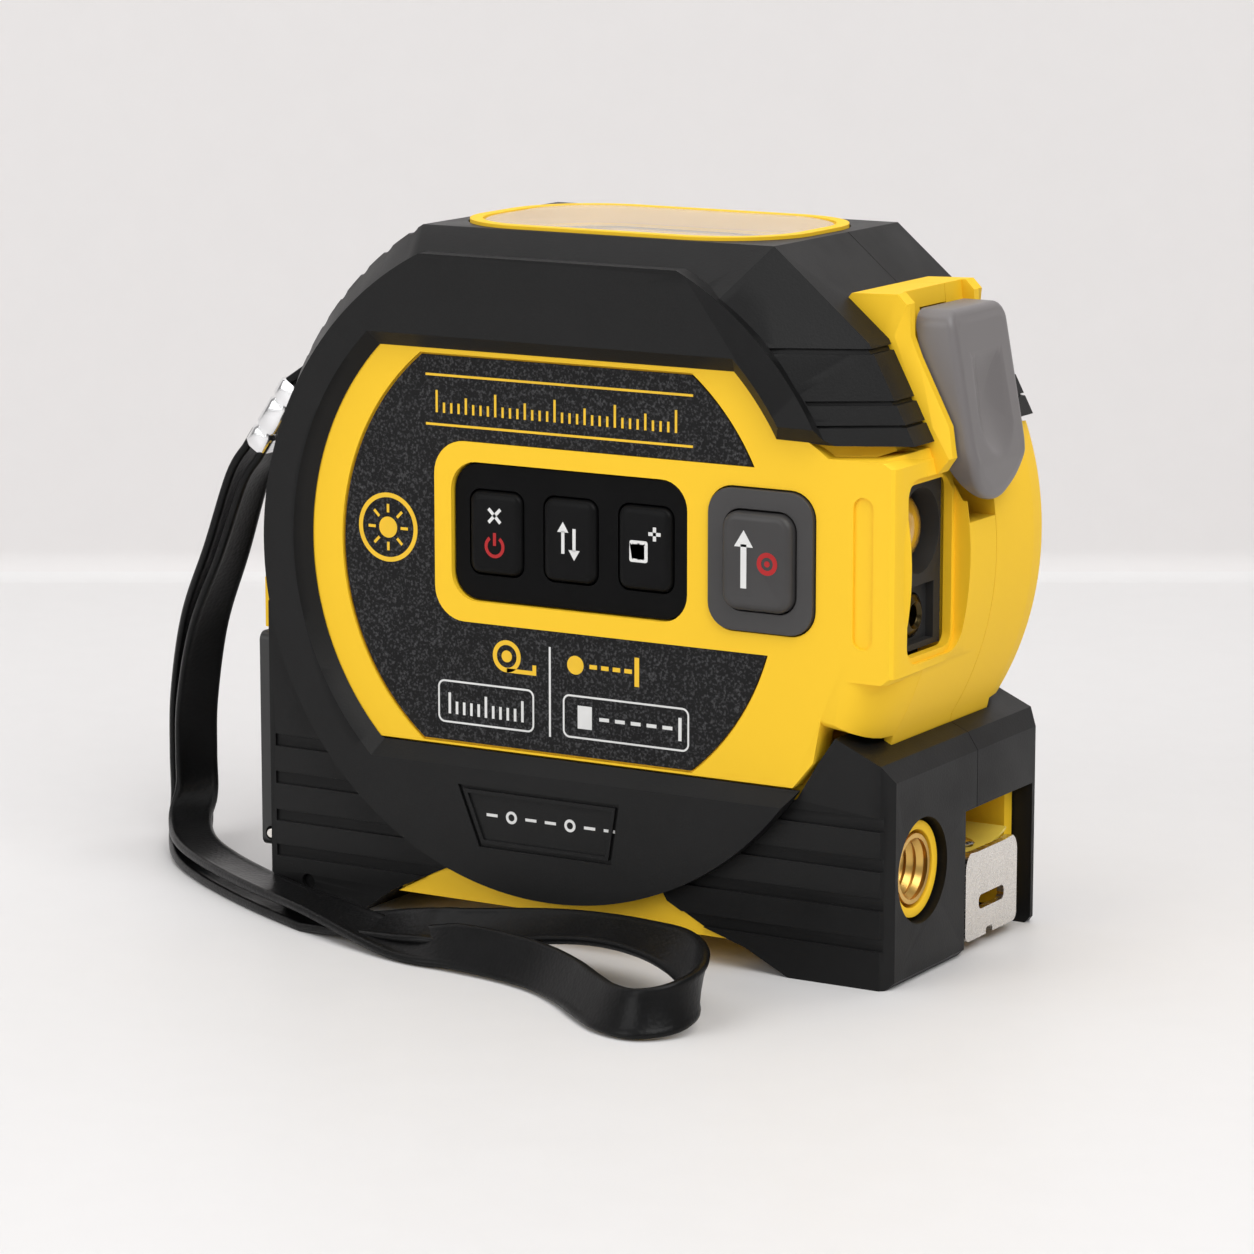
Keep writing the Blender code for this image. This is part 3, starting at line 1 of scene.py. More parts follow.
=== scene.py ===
"""Laser distance meter with a pull-out steel tape: its shown surfaces, finishes, camera and light.

Lengths inside the classes are millimetres in the case's own coordinates: x and z run from the axis of the
round side discs and y from the middle of the case. The mesh helpers turn them into the frame's metres.
"""

from __future__ import annotations

import json
import logging
import math
from dataclasses import dataclass, field
from enum import Enum

import bmesh
import bpy
from mathutils import Matrix, Vector

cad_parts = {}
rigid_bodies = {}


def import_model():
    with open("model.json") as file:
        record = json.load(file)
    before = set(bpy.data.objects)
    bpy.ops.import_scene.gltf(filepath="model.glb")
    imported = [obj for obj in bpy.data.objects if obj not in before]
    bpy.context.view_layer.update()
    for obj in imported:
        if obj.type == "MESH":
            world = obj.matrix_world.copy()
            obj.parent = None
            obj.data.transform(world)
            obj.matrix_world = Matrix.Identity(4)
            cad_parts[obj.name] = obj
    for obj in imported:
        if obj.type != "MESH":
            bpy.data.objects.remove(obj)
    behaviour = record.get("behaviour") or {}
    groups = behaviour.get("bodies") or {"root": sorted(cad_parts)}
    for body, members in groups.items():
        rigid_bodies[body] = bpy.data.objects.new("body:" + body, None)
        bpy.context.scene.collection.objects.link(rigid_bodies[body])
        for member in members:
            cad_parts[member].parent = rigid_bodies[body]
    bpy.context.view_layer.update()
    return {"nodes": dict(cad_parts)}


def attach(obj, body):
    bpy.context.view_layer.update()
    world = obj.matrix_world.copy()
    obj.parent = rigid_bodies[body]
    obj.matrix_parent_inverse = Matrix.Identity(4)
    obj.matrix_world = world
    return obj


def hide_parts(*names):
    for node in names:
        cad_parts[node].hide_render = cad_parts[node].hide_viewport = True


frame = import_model()

LOG = logging.getLogger("laser_distance_meter")
MM = 0.001
AXIS_X = -2.55
AXIS_Z = 45.4
Point2 = tuple[float, float]
Point3 = tuple[float, float, float]
Outline = list[Point2]


class Side(Enum):
    """The two halves of the case, by the sign of their y."""

    LEFT = -1
    RIGHT = 1

    @property
    def word(self) -> str:
        """The half's name as it is used in piece names."""
        return self.name.lower()


class Plane(Enum):
    """The plane that a flat outline is drawn in, with the direction it is made solid along."""

    XZ = (0, 1, 0)
    YZ = (1, 0, 0)
    XY = (0, 0, 1)

    def turn(self) -> Matrix:
        """Returns the rotation from a flat drawing to this plane."""
        if self is Plane.XZ:
            return Matrix(((1, 0, 0, 0), (0, 0, -1, 0), (0, 1, 0, 0), (0, 0, 0, 1)))
        if self is Plane.YZ:
            return Matrix(((0, 0, 1, 0), (1, 0, 0, 0), (0, 1, 0, 0), (0, 0, 0, 1)))
        return Matrix.Identity(4)


# Outlines


def arc(x: float, z: float, radius: float, start: float, end: float, count: int) -> Outline:
    """Points along an arc.

    Args:
        x: Centre, first coordinate.
        z: Centre, second coordinate.
        radius: Radius in mm.
        start: First angle in degrees, anticlockwise from the first axis.
        end: Last angle in degrees.
        count: Number of points.

    Returns:
        The points in order.
    """
    angles = [math.radians(start + (end - start) * i / (count - 1)) for i in range(count)]
    return [(x + radius * math.cos(a), z + radius * math.sin(a)) for a in angles]


def rounded_box(x0: float, x1: float, z0: float, z1: float, radius: float, count: int = 9) -> Outline:
    """A rectangle with round corners, anticlockwise.

    Args:
        x0: Left side.
        x1: Right side.
        z0: Lower side.
        z1: Upper side.
        radius: Corner radius.
        count: Points at each corner.

    Returns:
        The outline.
    """
    corners = ((x1 - radius, z1 - radius, 0), (x0 + radius, z1 - radius, 90),
               (x0 + radius, z0 + radius, 180), (x1 - radius, z0 + radius, 270))
    return [p for x, z, start in corners for p in arc(x, z, radius, start, start + 90, count)]


def centred_box(x: float, z: float, width: float, height: float, radius: float, count: int = 9) -> Outline:
    """A rounded rectangle given by its middle and its two sizes."""
    return rounded_box(x - width / 2, x + width / 2, z - height / 2, z + height / 2, radius, count)


def grown(points: Outline, distance: float) -> Outline:
    """Moves an outline outward, with mitred corners.

    Args:
        points: The outline.
        distance: How far, in mm; negative moves it inward.

    Returns:
        The moved outline, anticlockwise.
    """
    turn = sum(a[0] * b[1] - b[0] * a[1] for a, b in zip(points, points[1:] + points[:1]))
    if turn < 0:
        points = points[::-1]
    moved = []
    for before, here, after in zip(points[-1:] + points[:-1], points, points[1:] + points[:1]):
        ax, az = here[0] - before[0], here[1] - before[1]
        bx, bz = after[0] - here[0], after[1] - here[1]
        la, lb = math.hypot(ax, az), math.hypot(bx, bz)
        nx, nz = az / la + bz / lb, -ax / la - bx / lb
        scale = distance / max(1e-9, (nx * az / la - nz * ax / la))
        moved.append((here[0] + nx * scale, here[1] + nz * scale))
    return moved


def clipped_disc(radius: float, low: float, high: float, count: int, z: float = 0.0) -> Outline:
    """A disc cut flat at two heights, anticlockwise from its right side.

    Args:
        radius: Radius of the disc.
        low: Height of the lower flat.
        high: Height of the upper flat.
        count: Points on each side.
        z: Height of the disc's centre.

    Returns:
        The outline.
    """
    top = math.degrees(math.asin(min(1.0, (high - z) / radius)))
    bottom = math.degrees(math.asin(max(-1.0, (low - z) / radius)))
    return arc(0, z, radius, bottom, top, count) + arc(0, z, radius, 180 - top, 180 - bottom, count)


def matched(outline: Outline, rays: Outline) -> Outline:
    """Reads an outline in the directions of other points.

    Args:
        outline: The outline that is read.
        rays: Points whose directions from the disc's axis are used.

    Returns:
        For each ray, the outline's point in its direction.
    """
    found = []
    for x, z in rays:
        reach = math.hypot(x, z)
        c, s = x / reach, z / reach
        best = 0.0
        for a, b in zip(outline, outline[1:] + outline[:1]):
            dx, dz = b[0] - a[0], b[1] - a[1]
            across = s * dx - c * dz
            if abs(across) < 1e-12:
                continue
            share = (c * a[1] - s * a[0]) / across
            if -1e-6 <= share <= 1 + 1e-6:
                best = max(best, (a[0] + share * dx) * c + (a[1] + share * dz) * s)
        found.append((best * c, best * s))
    return found


def eased(share: float) -> float:
    """A share from 0 to 1 with a soft start and end."""
    share = min(1.0, max(0.0, share))
    return share * share * (3 - 2 * share)


# Meshes


def placed(name: str, bm: bmesh.types.BMesh, matrix: Matrix | None = None) -> bpy.types.Object:
    """Turns a bmesh in millimetres into an object in the frame's metres.

    Args:
        name: The object's name.
        bm: The mesh in the case's coordinates.
        matrix: A transform in millimetres applied first.

    Returns:
        The new object, at the origin.
    """
    if matrix is not None:
        bm.transform(matrix)
    bmesh.ops.recalc_face_normals(bm, faces=bm.faces)
    if bm.calc_volume(signed=True) < 0:
        bmesh.ops.reverse_faces(bm, faces=bm.faces)
    bm.transform(Matrix.Scale(MM, 4) @ Matrix.Translation((AXIS_X, 0, AXIS_Z)))
    mesh = bpy.data.meshes.new(name)
    bm.to_mesh(mesh)
    bm.free()
    obj = bpy.data.objects.new(name, mesh)
    bpy.context.scene.collection.objects.link(obj)
    return obj


def plate(name: str, loops: Outline | list[Outline], low: float, high: float,
          plane: Plane = Plane.XZ) -> bpy.types.Object:
    """Makes a flat outline, with any holes, solid between two distances across its plane.

    Args:
        name: The object's name.
        loops: One outline, or an outline followed by its holes.
        low: Where the solid starts.
        high: Where it ends.
        plane: The plane of the outline.

    Returns:
        The new object.
    """
    curve = bpy.data.curves.new(name, "CURVE")
    curve.dimensions = "2D"
    curve.fill_mode = "BOTH"
    curve.extrude = abs(high - low) / 2
    for loop in loops if isinstance(loops[0][0], tuple) else [loops]:
        spline = curve.splines.new("POLY")
        spline.points.add(len(loop) - 1)
        for point, (u, v) in zip(spline.points, loop):
            point.co = (u, v, 0, 1)
        spline.use_cyclic_u = True
    guide = bpy.data.objects.new(name, curve)
    bpy.context.scene.collection.objects.link(guide)
    mesh = bpy.data.meshes.new_from_object(guide.evaluated_get(bpy.context.evaluated_depsgraph_get()))
    bm = bmesh.new()
    bm.from_mesh(mesh)
    bmesh.ops.remove_doubles(bm, verts=bm.verts, dist=1e-4)
    bmesh.ops.dissolve_limit(bm, angle_limit=0.002, verts=bm.verts, edges=bm.edges)
    bpy.data.meshes.remove(mesh)
    bpy.data.objects.remove(guide)
    bpy.data.curves.remove(curve)
    middle = Vector(plane.value) * (low + high) / 2
    return placed(name, bm, Matrix.Translation(middle) @ plane.turn())


def loft(name: str, sections: list[tuple[float, Outline]]) -> bpy.types.Object:
    """A solid through outlines of equal point count.

    Args:
        name: The object's name.
        sections: Pairs of y and the outline there.

    Returns:
        The new object.
    """
    bm = bmesh.new()
    rings = [[bm.verts.new((x, y, z)) for x, z in points] for y, points in sections]
    for first, second in zip(rings, rings[1:]):
        for i in range(len(first)):
            j = (i + 1) % len(first)
            bm.faces.new((first[i], first[j], second[j], second[i]))
    bm.faces.new(rings[0])
    bm.faces.new(rings[-1])
    return placed(name, bm)


def stacked(name: str, rings: list[list[Point3]]) -> bpy.types.Object:
    """A closed solid through rings of points given in three coordinates.

    Args:
        name: The object's name.
        rings: Rings of equal length, from one end to the other.

    Returns:
        The new object.
    """
    bm = bmesh.new()
    made = [[bm.verts.new(p) for p in ring] for ring in rings]
    for first, second in zip(made, made[1:]):
        for i in range(len(first)):
            j = (i + 1) % len(first)
            bm.faces.new((first[i], first[j], second[j], second[i]))
    bm.faces.new(made[0])
    bm.faces.new(made[-1])
    return placed(name, bm)


def block(name: str, x0: float, x1: float, y0: float, y1: float, z0: float, z1: float) -> bpy.types.Object:
    """A box between two corners."""
    bm = bmesh.new()
    bmesh.ops.create_cube(bm, size=1.0)
    size = Matrix.Diagonal((abs(x1 - x0), abs(y1 - y0), abs(z1 - z0), 1))
    return placed(name, bm, Matrix.Translation(((x0 + x1) / 2, (y0 + y1) / 2, (z0 + z1) / 2)) @ size)


def axis_turn(axis: str) -> Matrix:
    """The rotation that lays +Z along the named axis."""
    return {"X": Matrix.Rotation(math.pi / 2, 4, "Y"), "Y": Matrix.Rotation(-math.pi / 2, 4, "X"),
            "Z": Matrix.Identity(4)}[axis]


def rod(name: str, radius: float, start: Point3, length: float, axis: str = "Y", sides: int = 48,
        tip: float | None = None) -> bpy.types.Object:
    """A cylinder, or a cone that ends in another radius.

    Args:
        name: The object's name.
        radius: Radius at the start.
        start: Middle of the starting face.
        length: Length along the axis.
        axis: X, Y or Z.
        sides: Number of sides.
        tip: Radius at the far end, where it differs.

    Returns:
        The new object.
    """
    bm = bmesh.new()
    bmesh.ops.create_cone(bm, cap_ends=True, segments=sides, radius1=radius,
                          radius2=radius if tip is None else tip, depth=length)
    bmesh.ops.translate(bm, vec=(0, 0, length / 2), verts=bm.verts)
    return placed(name, bm, Matrix.Translation(start) @ axis_turn(axis))


def turned(name: str, profile: Outline, start: Point3, axis: str = "Y", steps: int = 64) -> bpy.types.Object:
    """Spins a profile of (radius, height) points about an axis.

    Args:
        name: The object's name.
        profile: The profile; it is closed where its ends meet or lie on the axis.
        start: The point that height 0 stands for.
        axis: X, Y or Z.
        steps: Number of steps round the axis.

    Returns:
        The new object.
    """
    bm = bmesh.new()
    rings = []
    for radius, height in profile:
        if radius < 1e-6:
            rings.append([bm.verts.new((0, 0, height))] * steps)
            continue
        angles = [2 * math.pi * i / steps for i in range(steps)]
        rings.append([bm.verts.new((radius * math.cos(a), radius * math.sin(a), height)) for a in angles])
    for first, second in zip(rings, rings[1:]):
        for i in range(steps):
            j = (i + 1) % steps
            corners = []
            for vert in (first[i], first[j], second[j], second[i]):
                if vert not in corners:
                    corners.append(vert)
            if len(corners) > 2:
                bm.faces.new(corners)
    bmesh.ops.remove_doubles(bm, verts=bm.verts, dist=1e-5)
    return placed(name, bm, Matrix.Translation(start) @ axis_turn(axis))


def combined(obj: bpy.types.Object, operation: str, others: list[bpy.types.Object]) -> bpy.types.Object:
    """Joins, cuts or intersects an object with others, which are used up.

    Args:
        obj: The object that is changed.
        operation: UNION, DIFFERENCE or INTERSECT.
        others: The other solids.

    Returns:
        The same object.
    """
    for other in others:
        step = obj.modifiers.new(other.name, "BOOLEAN")
        step.operation = operation
        step.solver = "MANIFOLD"
        step.object = other
    bpy.context.view_layer.update()
    mesh = bpy.data.meshes.new_from_object(obj.evaluated_get(bpy.context.evaluated_depsgraph_get()))
    obj.modifiers.clear()
    obj.data = mesh
    for other in others:
        bpy.data.objects.remove(other)
    return obj


def softened(obj: bpy.types.Object, width: float, segments: int = 2, angle: float = 32.0) -> bpy.types.Object:
    """Rounds an object's sharp edges.

    Args:
        obj: The object.
        width: Bevel width in mm.
        segments: Steps across the bevel.
        angle: Edges sharper than this many degrees are rounded.

    Returns:
        The same object.
    """
    bm = bmesh.new()
    bm.from_mesh(obj.data)
    bmesh.ops.remove_doubles(bm, verts=bm.verts, dist=2e-6)
    bmesh.ops.dissolve_limit(bm, angle_limit=0.006, verts=bm.verts, edges=bm.edges)
    bm.to_mesh(obj.data)
    bm.free()
    bevel = obj.modifiers.new("soft_edges", "BEVEL")
    bevel.width = width * MM
    bevel.segments = segments
    bevel.limit_method = "ANGLE"
    bevel.angle_limit = math.radians(angle)
    bevel.miter_outer = "MITER_ARC"
    bevel.harden_normals = True
    obj.data.shade_smooth()
    obj.data.set_sharp_from_angle(angle=math.radians(max(angle, 40)))
    return obj


def shaded(obj: bpy.types.Object, angle: float = 40.0) -> bpy.types.Object:
    """Shades an object smooth, with sharp edges above an angle in degrees."""
    obj.data.shade_smooth()
    obj.data.set_sharp_from_angle(angle=math.radians(angle))
    return obj


# Finishes


class Pattern(Enum):
    """What a finish's fine surface is made of."""

    MOULDED = "moulded"
    SPECKLED = "speckled"
    BRUSHED = "brushed"
    WOVEN = "woven"
    MACHINED = "machined"
    CLEAR = "clear"


@dataclass(frozen=True)
class Finish:
    """One surface finish, made as a node material.

    Attributes:
        name: The material's name.
        slot: The record's material slot that it names; not used.
        colour: Linear base colour.
        roughness: Middle roughness.
        pattern: The kind of fine surface.
        grain: Size of the surface grain in mm.
        depth: Height of the grain in mm.
        mottle: How far the colour varies, as a share of itself.
        spread: How far the roughness varies.
        worn: Colour that edges and high spots turn to.
        wear: How much of that colour shows.
        metallic: 1 for bare metal.
        coat: Clear coat weight.
        transmission: Share of light let through.
        glow: Strength of the base colour's own light.
        gloss: Specular level, 0.5 for plain plastic.
        alpha: How much of the surface hides what is behind it.
    """

    name: str
    slot: str
    colour: Point3
    roughness: float
    pattern: Pattern = Pattern.MOULDED
    grain: float = 0.35
    depth: float = 0.012
    mottle: float = 0.06
    spread: float = 0.06
    worn: Point3 | None = None
    wear: float = 0.25
    metallic: float = 0.0
    coat: float = 0.0
    transmission: float = 0.0
    glow: float = 0.0
    gloss: float = 0.5
    alpha: float = 1.0

    def material(self) -> bpy.types.Material:
        """Builds the material, or returns it if it's already made.

        Returns:
            The node material.
        """
        made = bpy.data.materials.get(self.name)
        if made:
            return made
        material = bpy.data.materials.new(self.name)
        material.use_nodes = True
        tree = material.node_tree
        shader = tree.nodes["Principled BSDF"]
        shader.inputs["Metallic"].default_value = self.metallic
        shader.inputs["Specular IOR Level"].default_value = self.gloss
        shader.inputs["Alpha"].default_value = self.alpha
        shader.inputs["Coat Weight"].default_value = self.coat
        shader.inputs["Coat Roughness"].default_value = 0.12
        shader.inputs["Transmission Weight"].default_value = self.transmission
        if self.glow:
            shader.inputs["Emission Color"].default_value = (*self.colour, 1)
            shader.inputs["Emission Strength"].default_value = self.glow
        place = tree.nodes.new("ShaderNodeTexCoord").outputs["Object"]
        self._paint(tree, shader, place)
        self._polish(tree, shader, place)
        self._relief(tree, shader, place)
        return material

    def _noise(self, tree: bpy.types.NodeTree, place: bpy.types.NodeSocket, size: float,
               detail: float = 4.0, stretch: Point3 = (1, 1, 1)) -> bpy.types.NodeSocket:
        """Adds a noise texture with features of a size.

        Args:
            tree: The node tree.
            place: The coordinates it is read in.
            size: Feature size in mm.
            detail: Noise detail.
            stretch: Scale along each axis.

        Returns:
            The noise's value.
        """
        mapping = tree.nodes.new("ShaderNodeMapping")
        mapping.inputs["Scale"].default_value = stretch
        tree.links.new(place, mapping.inputs["Vector"])
        noise = tree.nodes.new("ShaderNodeTexNoise")
        noise.inputs["Scale"].default_value = 1 / (size * MM)
        noise.inputs["Detail"].default_value = detail
        tree.links.new(mapping.outputs["Vector"], noise.inputs["Vector"])
        return noise.outputs["Fac"]

    def _paint(self, tree: bpy.types.NodeTree, shader: bpy.types.Node, place: bpy.types.NodeSocket) -> None:
        """Adds the colour: a slow mottle, specks where the pattern has them, and worn high spots.

        Args:
            tree: The node tree.
            shader: The Principled shader.
            place: Texture coordinates.
        """
        ramp = tree.nodes.new("ShaderNodeValToRGB")
        dark = [c * (1 - self.mottle) for c in self.colour]
        light = [min(1.0, c * (1 + self.mottle)) for c in self.colour]
        ramp.color_ramp.elements[0].position = 0.35
        ramp.color_ramp.elements[0].color = (*dark, 1)
        ramp.color_ramp.elements[1].position = 0.65
        ramp.color_ramp.elements[1].color = (*light, 1)
        tree.links.new(self._noise(tree, place, 6.0), ramp.inputs["Fac"])
        colour = ramp.outputs["Color"]
        if self.pattern is Pattern.SPECKLED:
            specks = tree.nodes.new("ShaderNodeValToRGB")
            specks.color_ramp.elements[0].position = 0.5
            specks.color_ramp.elements[0].color = (0, 0, 0, 1)
            specks.color_ramp.elements[1].position = 0.74
            specks.color_ramp.elements[1].color = (1, 1, 1, 1)
            tree.links.new(self._noise(tree, place, self.grain * 1.2, 6.0), specks.inputs["Fac"])
            colour = self._over(tree, colour, specks.outputs["Color"], self.worn or (0.12, 0.12, 0.12))
        elif self.worn:
            spot = tree.nodes.new("ShaderNodeValToRGB")
            spot.color_ramp.elements[0].position = 0.515
            spot.color_ramp.elements[0].color = (0, 0, 0, 1)
            spot.color_ramp.elements[1].position = 0.57
            spot.color_ramp.elements[1].color = (self.wear, self.wear, self.wear, 1)
            tree.links.new(tree.nodes.new("ShaderNodeNewGeometry").outputs["Pointiness"], spot.inputs["Fac"])
            colour = self._over(tree, colour, spot.outputs["Color"], self.worn)
        tree.links.new(colour, shader.inputs["Base Color"])

    @staticmethod
    def _over(tree: bpy.types.NodeTree, colour: bpy.types.NodeSocket, share: bpy.types.NodeSocket,
              top: Point3) -> bpy.types.NodeSocket:
        """Mixes a colour over another by a share.

        Args:
            tree: The node tree.
            colour: The colour below.
            share: How much of the top colour shows.
            top: The colour on top.

        Returns:
            The mixed colour.
        """
        mix = tree.nodes.new("ShaderNodeMix")
        mix.data_type = "RGBA"
        mix.inputs[7].default_value = (*top, 1)
        tree.links.new(colour, mix.inputs[6])
        tree.links.new(share, mix.inputs[0])
        return mix.outputs[2]

    def _polish(self, tree: bpy.types.NodeTree, shader: bpy.types.Node, place: bpy.types.NodeSocket) -> None:
        """Adds the roughness: smears and handling marks, or brush lines.

        Args:
            tree: The node tree.
            shader: The Principled shader.
            place: Texture coordinates.
        """
        spread = tree.nodes.new("ShaderNodeMapRange")
        spread.inputs["From Min"].default_value = 0.3
        spread.inputs["From Max"].default_value = 0.7
        spread.inputs["To Min"].default_value = max(0.02, self.roughness - self.spread)
        spread.inputs["To Max"].default_value = min(1.0, self.roughness + self.spread)
        lines = self.pattern is Pattern.BRUSHED
        source = self._noise(tree, place, 0.3 if lines else 9.0, 5.0, (0.05, 1, 1) if lines else (1, 1, 1))
        tree.links.new(source, spread.inputs["Value"])
        tree.links.new(spread.outputs["Result"], shader.inputs["Roughness"])

    def _relief(self, tree: bpy.types.NodeTree, shader: bpy.types.Node, place: bpy.types.NodeSocket) -> None:
        """Adds the fine relief as a bump: spark-eroded grain, brush lines, tool rings or a weave.

        Args:
            tree: The node tree.
            shader: The Principled shader.
            place: Texture coordinates.
        """
        if self.pattern is Pattern.WOVEN:
            wave = tree.nodes.new("ShaderNodeTexVoronoi")
            wave.inputs["Scale"].default_value = 1 / (self.grain * MM)
            tree.links.new(place, wave.inputs["Vector"])
            height = wave.outputs["Distance"]
        elif self.pattern is Pattern.BRUSHED:
            height = self._noise(tree, place, self.grain, 3.0, (0.04, 1, 1))
        elif self.pattern is Pattern.MACHINED:
            height = self._noise(tree, place, self.grain, 2.0, (1, 0.2, 0.2))
        else:
            height = self._noise(tree, place, self.grain, 6.0)
        bump = tree.nodes.new("ShaderNodeBump")
        bump.inputs["Strength"].default_value = 1.0
        bump.inputs["Distance"].default_value = self.depth * MM
        tree.links.new(height, bump.inputs["Height"])
        tree.links.new(bump.outputs["Normal"], shader.inputs["Normal"])


@dataclass(frozen=True)
class Palette:
    """Every finish of the tool."""

    case: Finish = Finish("case_yellow", "case_yellow", (0.98, 0.585, 0.003), 0.4, grain=0.3, depth=0.005,
                          mottle=0.02, worn=(1.0, 0.66, 0.05), wear=0.3, gloss=0.16)
    grip: Finish = Finish("grip_black", "grip_rubber", (0.0058, 0.0058, 0.006), 0.42, grain=0.28, depth=0.016,
                          mottle=0.12, worn=(0.02, 0.02, 0.02), wear=0.4, gloss=0.15)
    foot: Finish = Finish("foot_black", "grip_rubber", (0.006, 0.006, 0.0062), 0.42, grain=0.32, depth=0.014,
                          mottle=0.1, worn=(0.02, 0.02, 0.02), wear=0.4, gloss=0.15)
    label: Finish = Finish("label_charcoal", "label_film", (0.0075, 0.0075, 0.008), 0.48, Pattern.SPECKLED,
                           grain=0.24, depth=0.01, worn=(0.075, 0.075, 0.078), gloss=0.14)
    pad: Finish = Finish("pad_black", "key_rubber", (0.0032, 0.0032, 0.0034), 0.5, grain=0.25, depth=0.008,
                         gloss=0.07)
    key: Finish = Finish("key_black", "key_rubber", (0.0042, 0.0042, 0.0045), 0.42, grain=0.22, depth=0.006,
                         worn=(0.012, 0.012, 0.012), gloss=0.09)
    measure: Finish = Finish("measure_grey", "measure_rubber", (0.042, 0.04, 0.04), 0.42, grain=0.25,
                             depth=0.006,
                             worn=(0.09, 0.09, 0.09), gloss=0.35)
    lock: Finish = Finish("lock_grey", "lock_grey", (0.028, 0.0265, 0.026), 0.36, grain=0.25, depth=0.006,
                          mottle=0.04, worn=(0.1, 0.095, 0.094), gloss=0.3)
    window: Finish = Finish("window_clear", "display_glass", (0.93, 0.9, 0.84), 0.12, Pattern.CLEAR,
                            grain=8.0,
                            depth=0.003, mottle=0.02, spread=0.03, gloss=0.3, alpha=0.35)
    screen: Finish = Finish("screen_cream", "display_panel", (0.9, 0.85, 0.75), 0.32, grain=0.5, depth=0.001,
                            mottle=0.02)
    well: Finish = Finish("screen_glass", "display_panel", (0.8, 0.77, 0.69), 0.3, grain=0.5, depth=0.002)
    optics: Finish = Finish("optics_black", "optics_black", (0.006, 0.006, 0.006), 0.22, grain=0.4,
                            depth=0.004)
    lens: Finish = Finish("lens_amber", "lens_glass", (0.95, 0.5, 0.03), 0.05, Pattern.CLEAR, grain=5.0,
                          depth=0.001, mottle=0.15, spread=0.02, coat=1.0, transmission=0.35)
    steel: Finish = Finish("hook_steel", "plated_steel", (0.72, 0.69, 0.65), 0.26, Pattern.BRUSHED, grain=0.2,
                           depth=0.003, mottle=0.04, metallic=1.0)
    crimp: Finish = Finish("crimp_steel", "plated_steel", (0.86, 0.86, 0.87), 0.2, Pattern.BRUSHED, grain=0.3,
                           depth=0.006, mottle=0.05, metallic=1.0)
    tape: Finish = Finish("tape_paint", "tape_steel", (0.9, 0.68, 0.1), 0.35, Pattern.BRUSHED, grain=0.3,
                          depth=0.001, coat=0.3)
    brass: Finish = Finish("insert_brass", "insert_brass", (0.78, 0.5, 0.12), 0.24, Pattern.MACHINED,
                           grain=0.3,
                           depth=0.006, mottle=0.08, metallic=1.0)
    barrel: Finish = Finish("laser_barrel", "insert_brass", (0.06, 0.045, 0.02), 0.3, Pattern.MACHINED,
                            grain=0.3,
                            depth=0.004, mottle=0.1, metallic=1.0)
    strap: Finish = Finish("strap_black", "strap_cord", (0.0045, 0.0045, 0.0047), 0.36, Pattern.WOVEN,
                           grain=0.5,
                           depth=0.022, mottle=0.15, spread=0.08, gloss=0.16)
    door: Finish = Finish("door_black", "door_black", (0.006, 0.006, 0.0062), 0.44, grain=0.3, depth=0.012,
                          worn=(0.02, 0.02, 0.02), gloss=0.15)
    yellow_ink: Finish = Finish("ink_yellow", "label_film", (0.86, 0.52, 0.01), 0.42, grain=0.3, depth=0.004)
    white_ink: Finish = Finish("ink_white", "label_film", (0.74, 0.74, 0.73), 0.42, grain=0.3, depth=0.004)
    red_ink: Finish = Finish("ink_red", "key_rubber", (0.42, 0.012, 0.014), 0.42, grain=0.3, depth=0.004,
                             gloss=0.3)
    reel: Finish = Finish("reel_grey", "reel_plastic", (0.2, 0.21, 0.23), 0.5, grain=0.3, depth=0.01)
    spring: Finish = Finish("spring_steel", "spring_steel", (0.3, 0.3, 0.33), 0.32, Pattern.BRUSHED,
                            grain=0.2,
                            depth=0.003, metallic=1.0)
    board: Finish = Finish("board_green", "board_laminate", (0.02, 0.14, 0.05), 0.4, grain=0.6, depth=0.01)
    cell: Finish = Finish("cell_sleeve", "cell_wrap", (0.07, 0.12, 0.3), 0.3, grain=2.0, depth=0.004,
                          coat=0.4)
    floor: Finish = Finish("floor_matt", "grip_rubber", (0.74, 0.73, 0.728), 0.5, grain=3.0, depth=0.002,
                           mottle=0.004, spread=0.03)
    wall: Finish = Finish("wall_matt", "grip_rubber", (0.74, 0.72, 0.716), 0.8, grain=3.0, depth=0.001,
                          mottle=0.004, spread=0.03)


FINISH = Palette()


def dress(obj: bpy.types.Object, finish: Finish, body: str = "case", *nodes: str) -> bpy.types.Object:
    """Gives a piece its finish, the body it moves with and the frame's solids it stands for.

    Args:
        obj: The piece.
        finish: Its finish.
        body: The body it rides on.
        *nodes: The solids that it replaces.

    Returns:
        The same piece.
    """
    obj.data.materials.clear()
    obj.data.materials.append(finish.material())
    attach(obj, body)
    if nodes:
        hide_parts(*nodes)
    LOG.info("%s: %s, on %s", obj.name, finish.name, body)
    return obj


def kept(node: str, finish: Finish) -> None:
    """Gives one of the frame's own solids its finish.

    Args:
        node: The solid's name.
        finish: The finish it gets.
    """
    obj = frame["nodes"][node]
    obj.data.materials.clear()
    obj.data.materials.append(finish.material())
    LOG.info("%s: %s", node, finish.name)


# Case


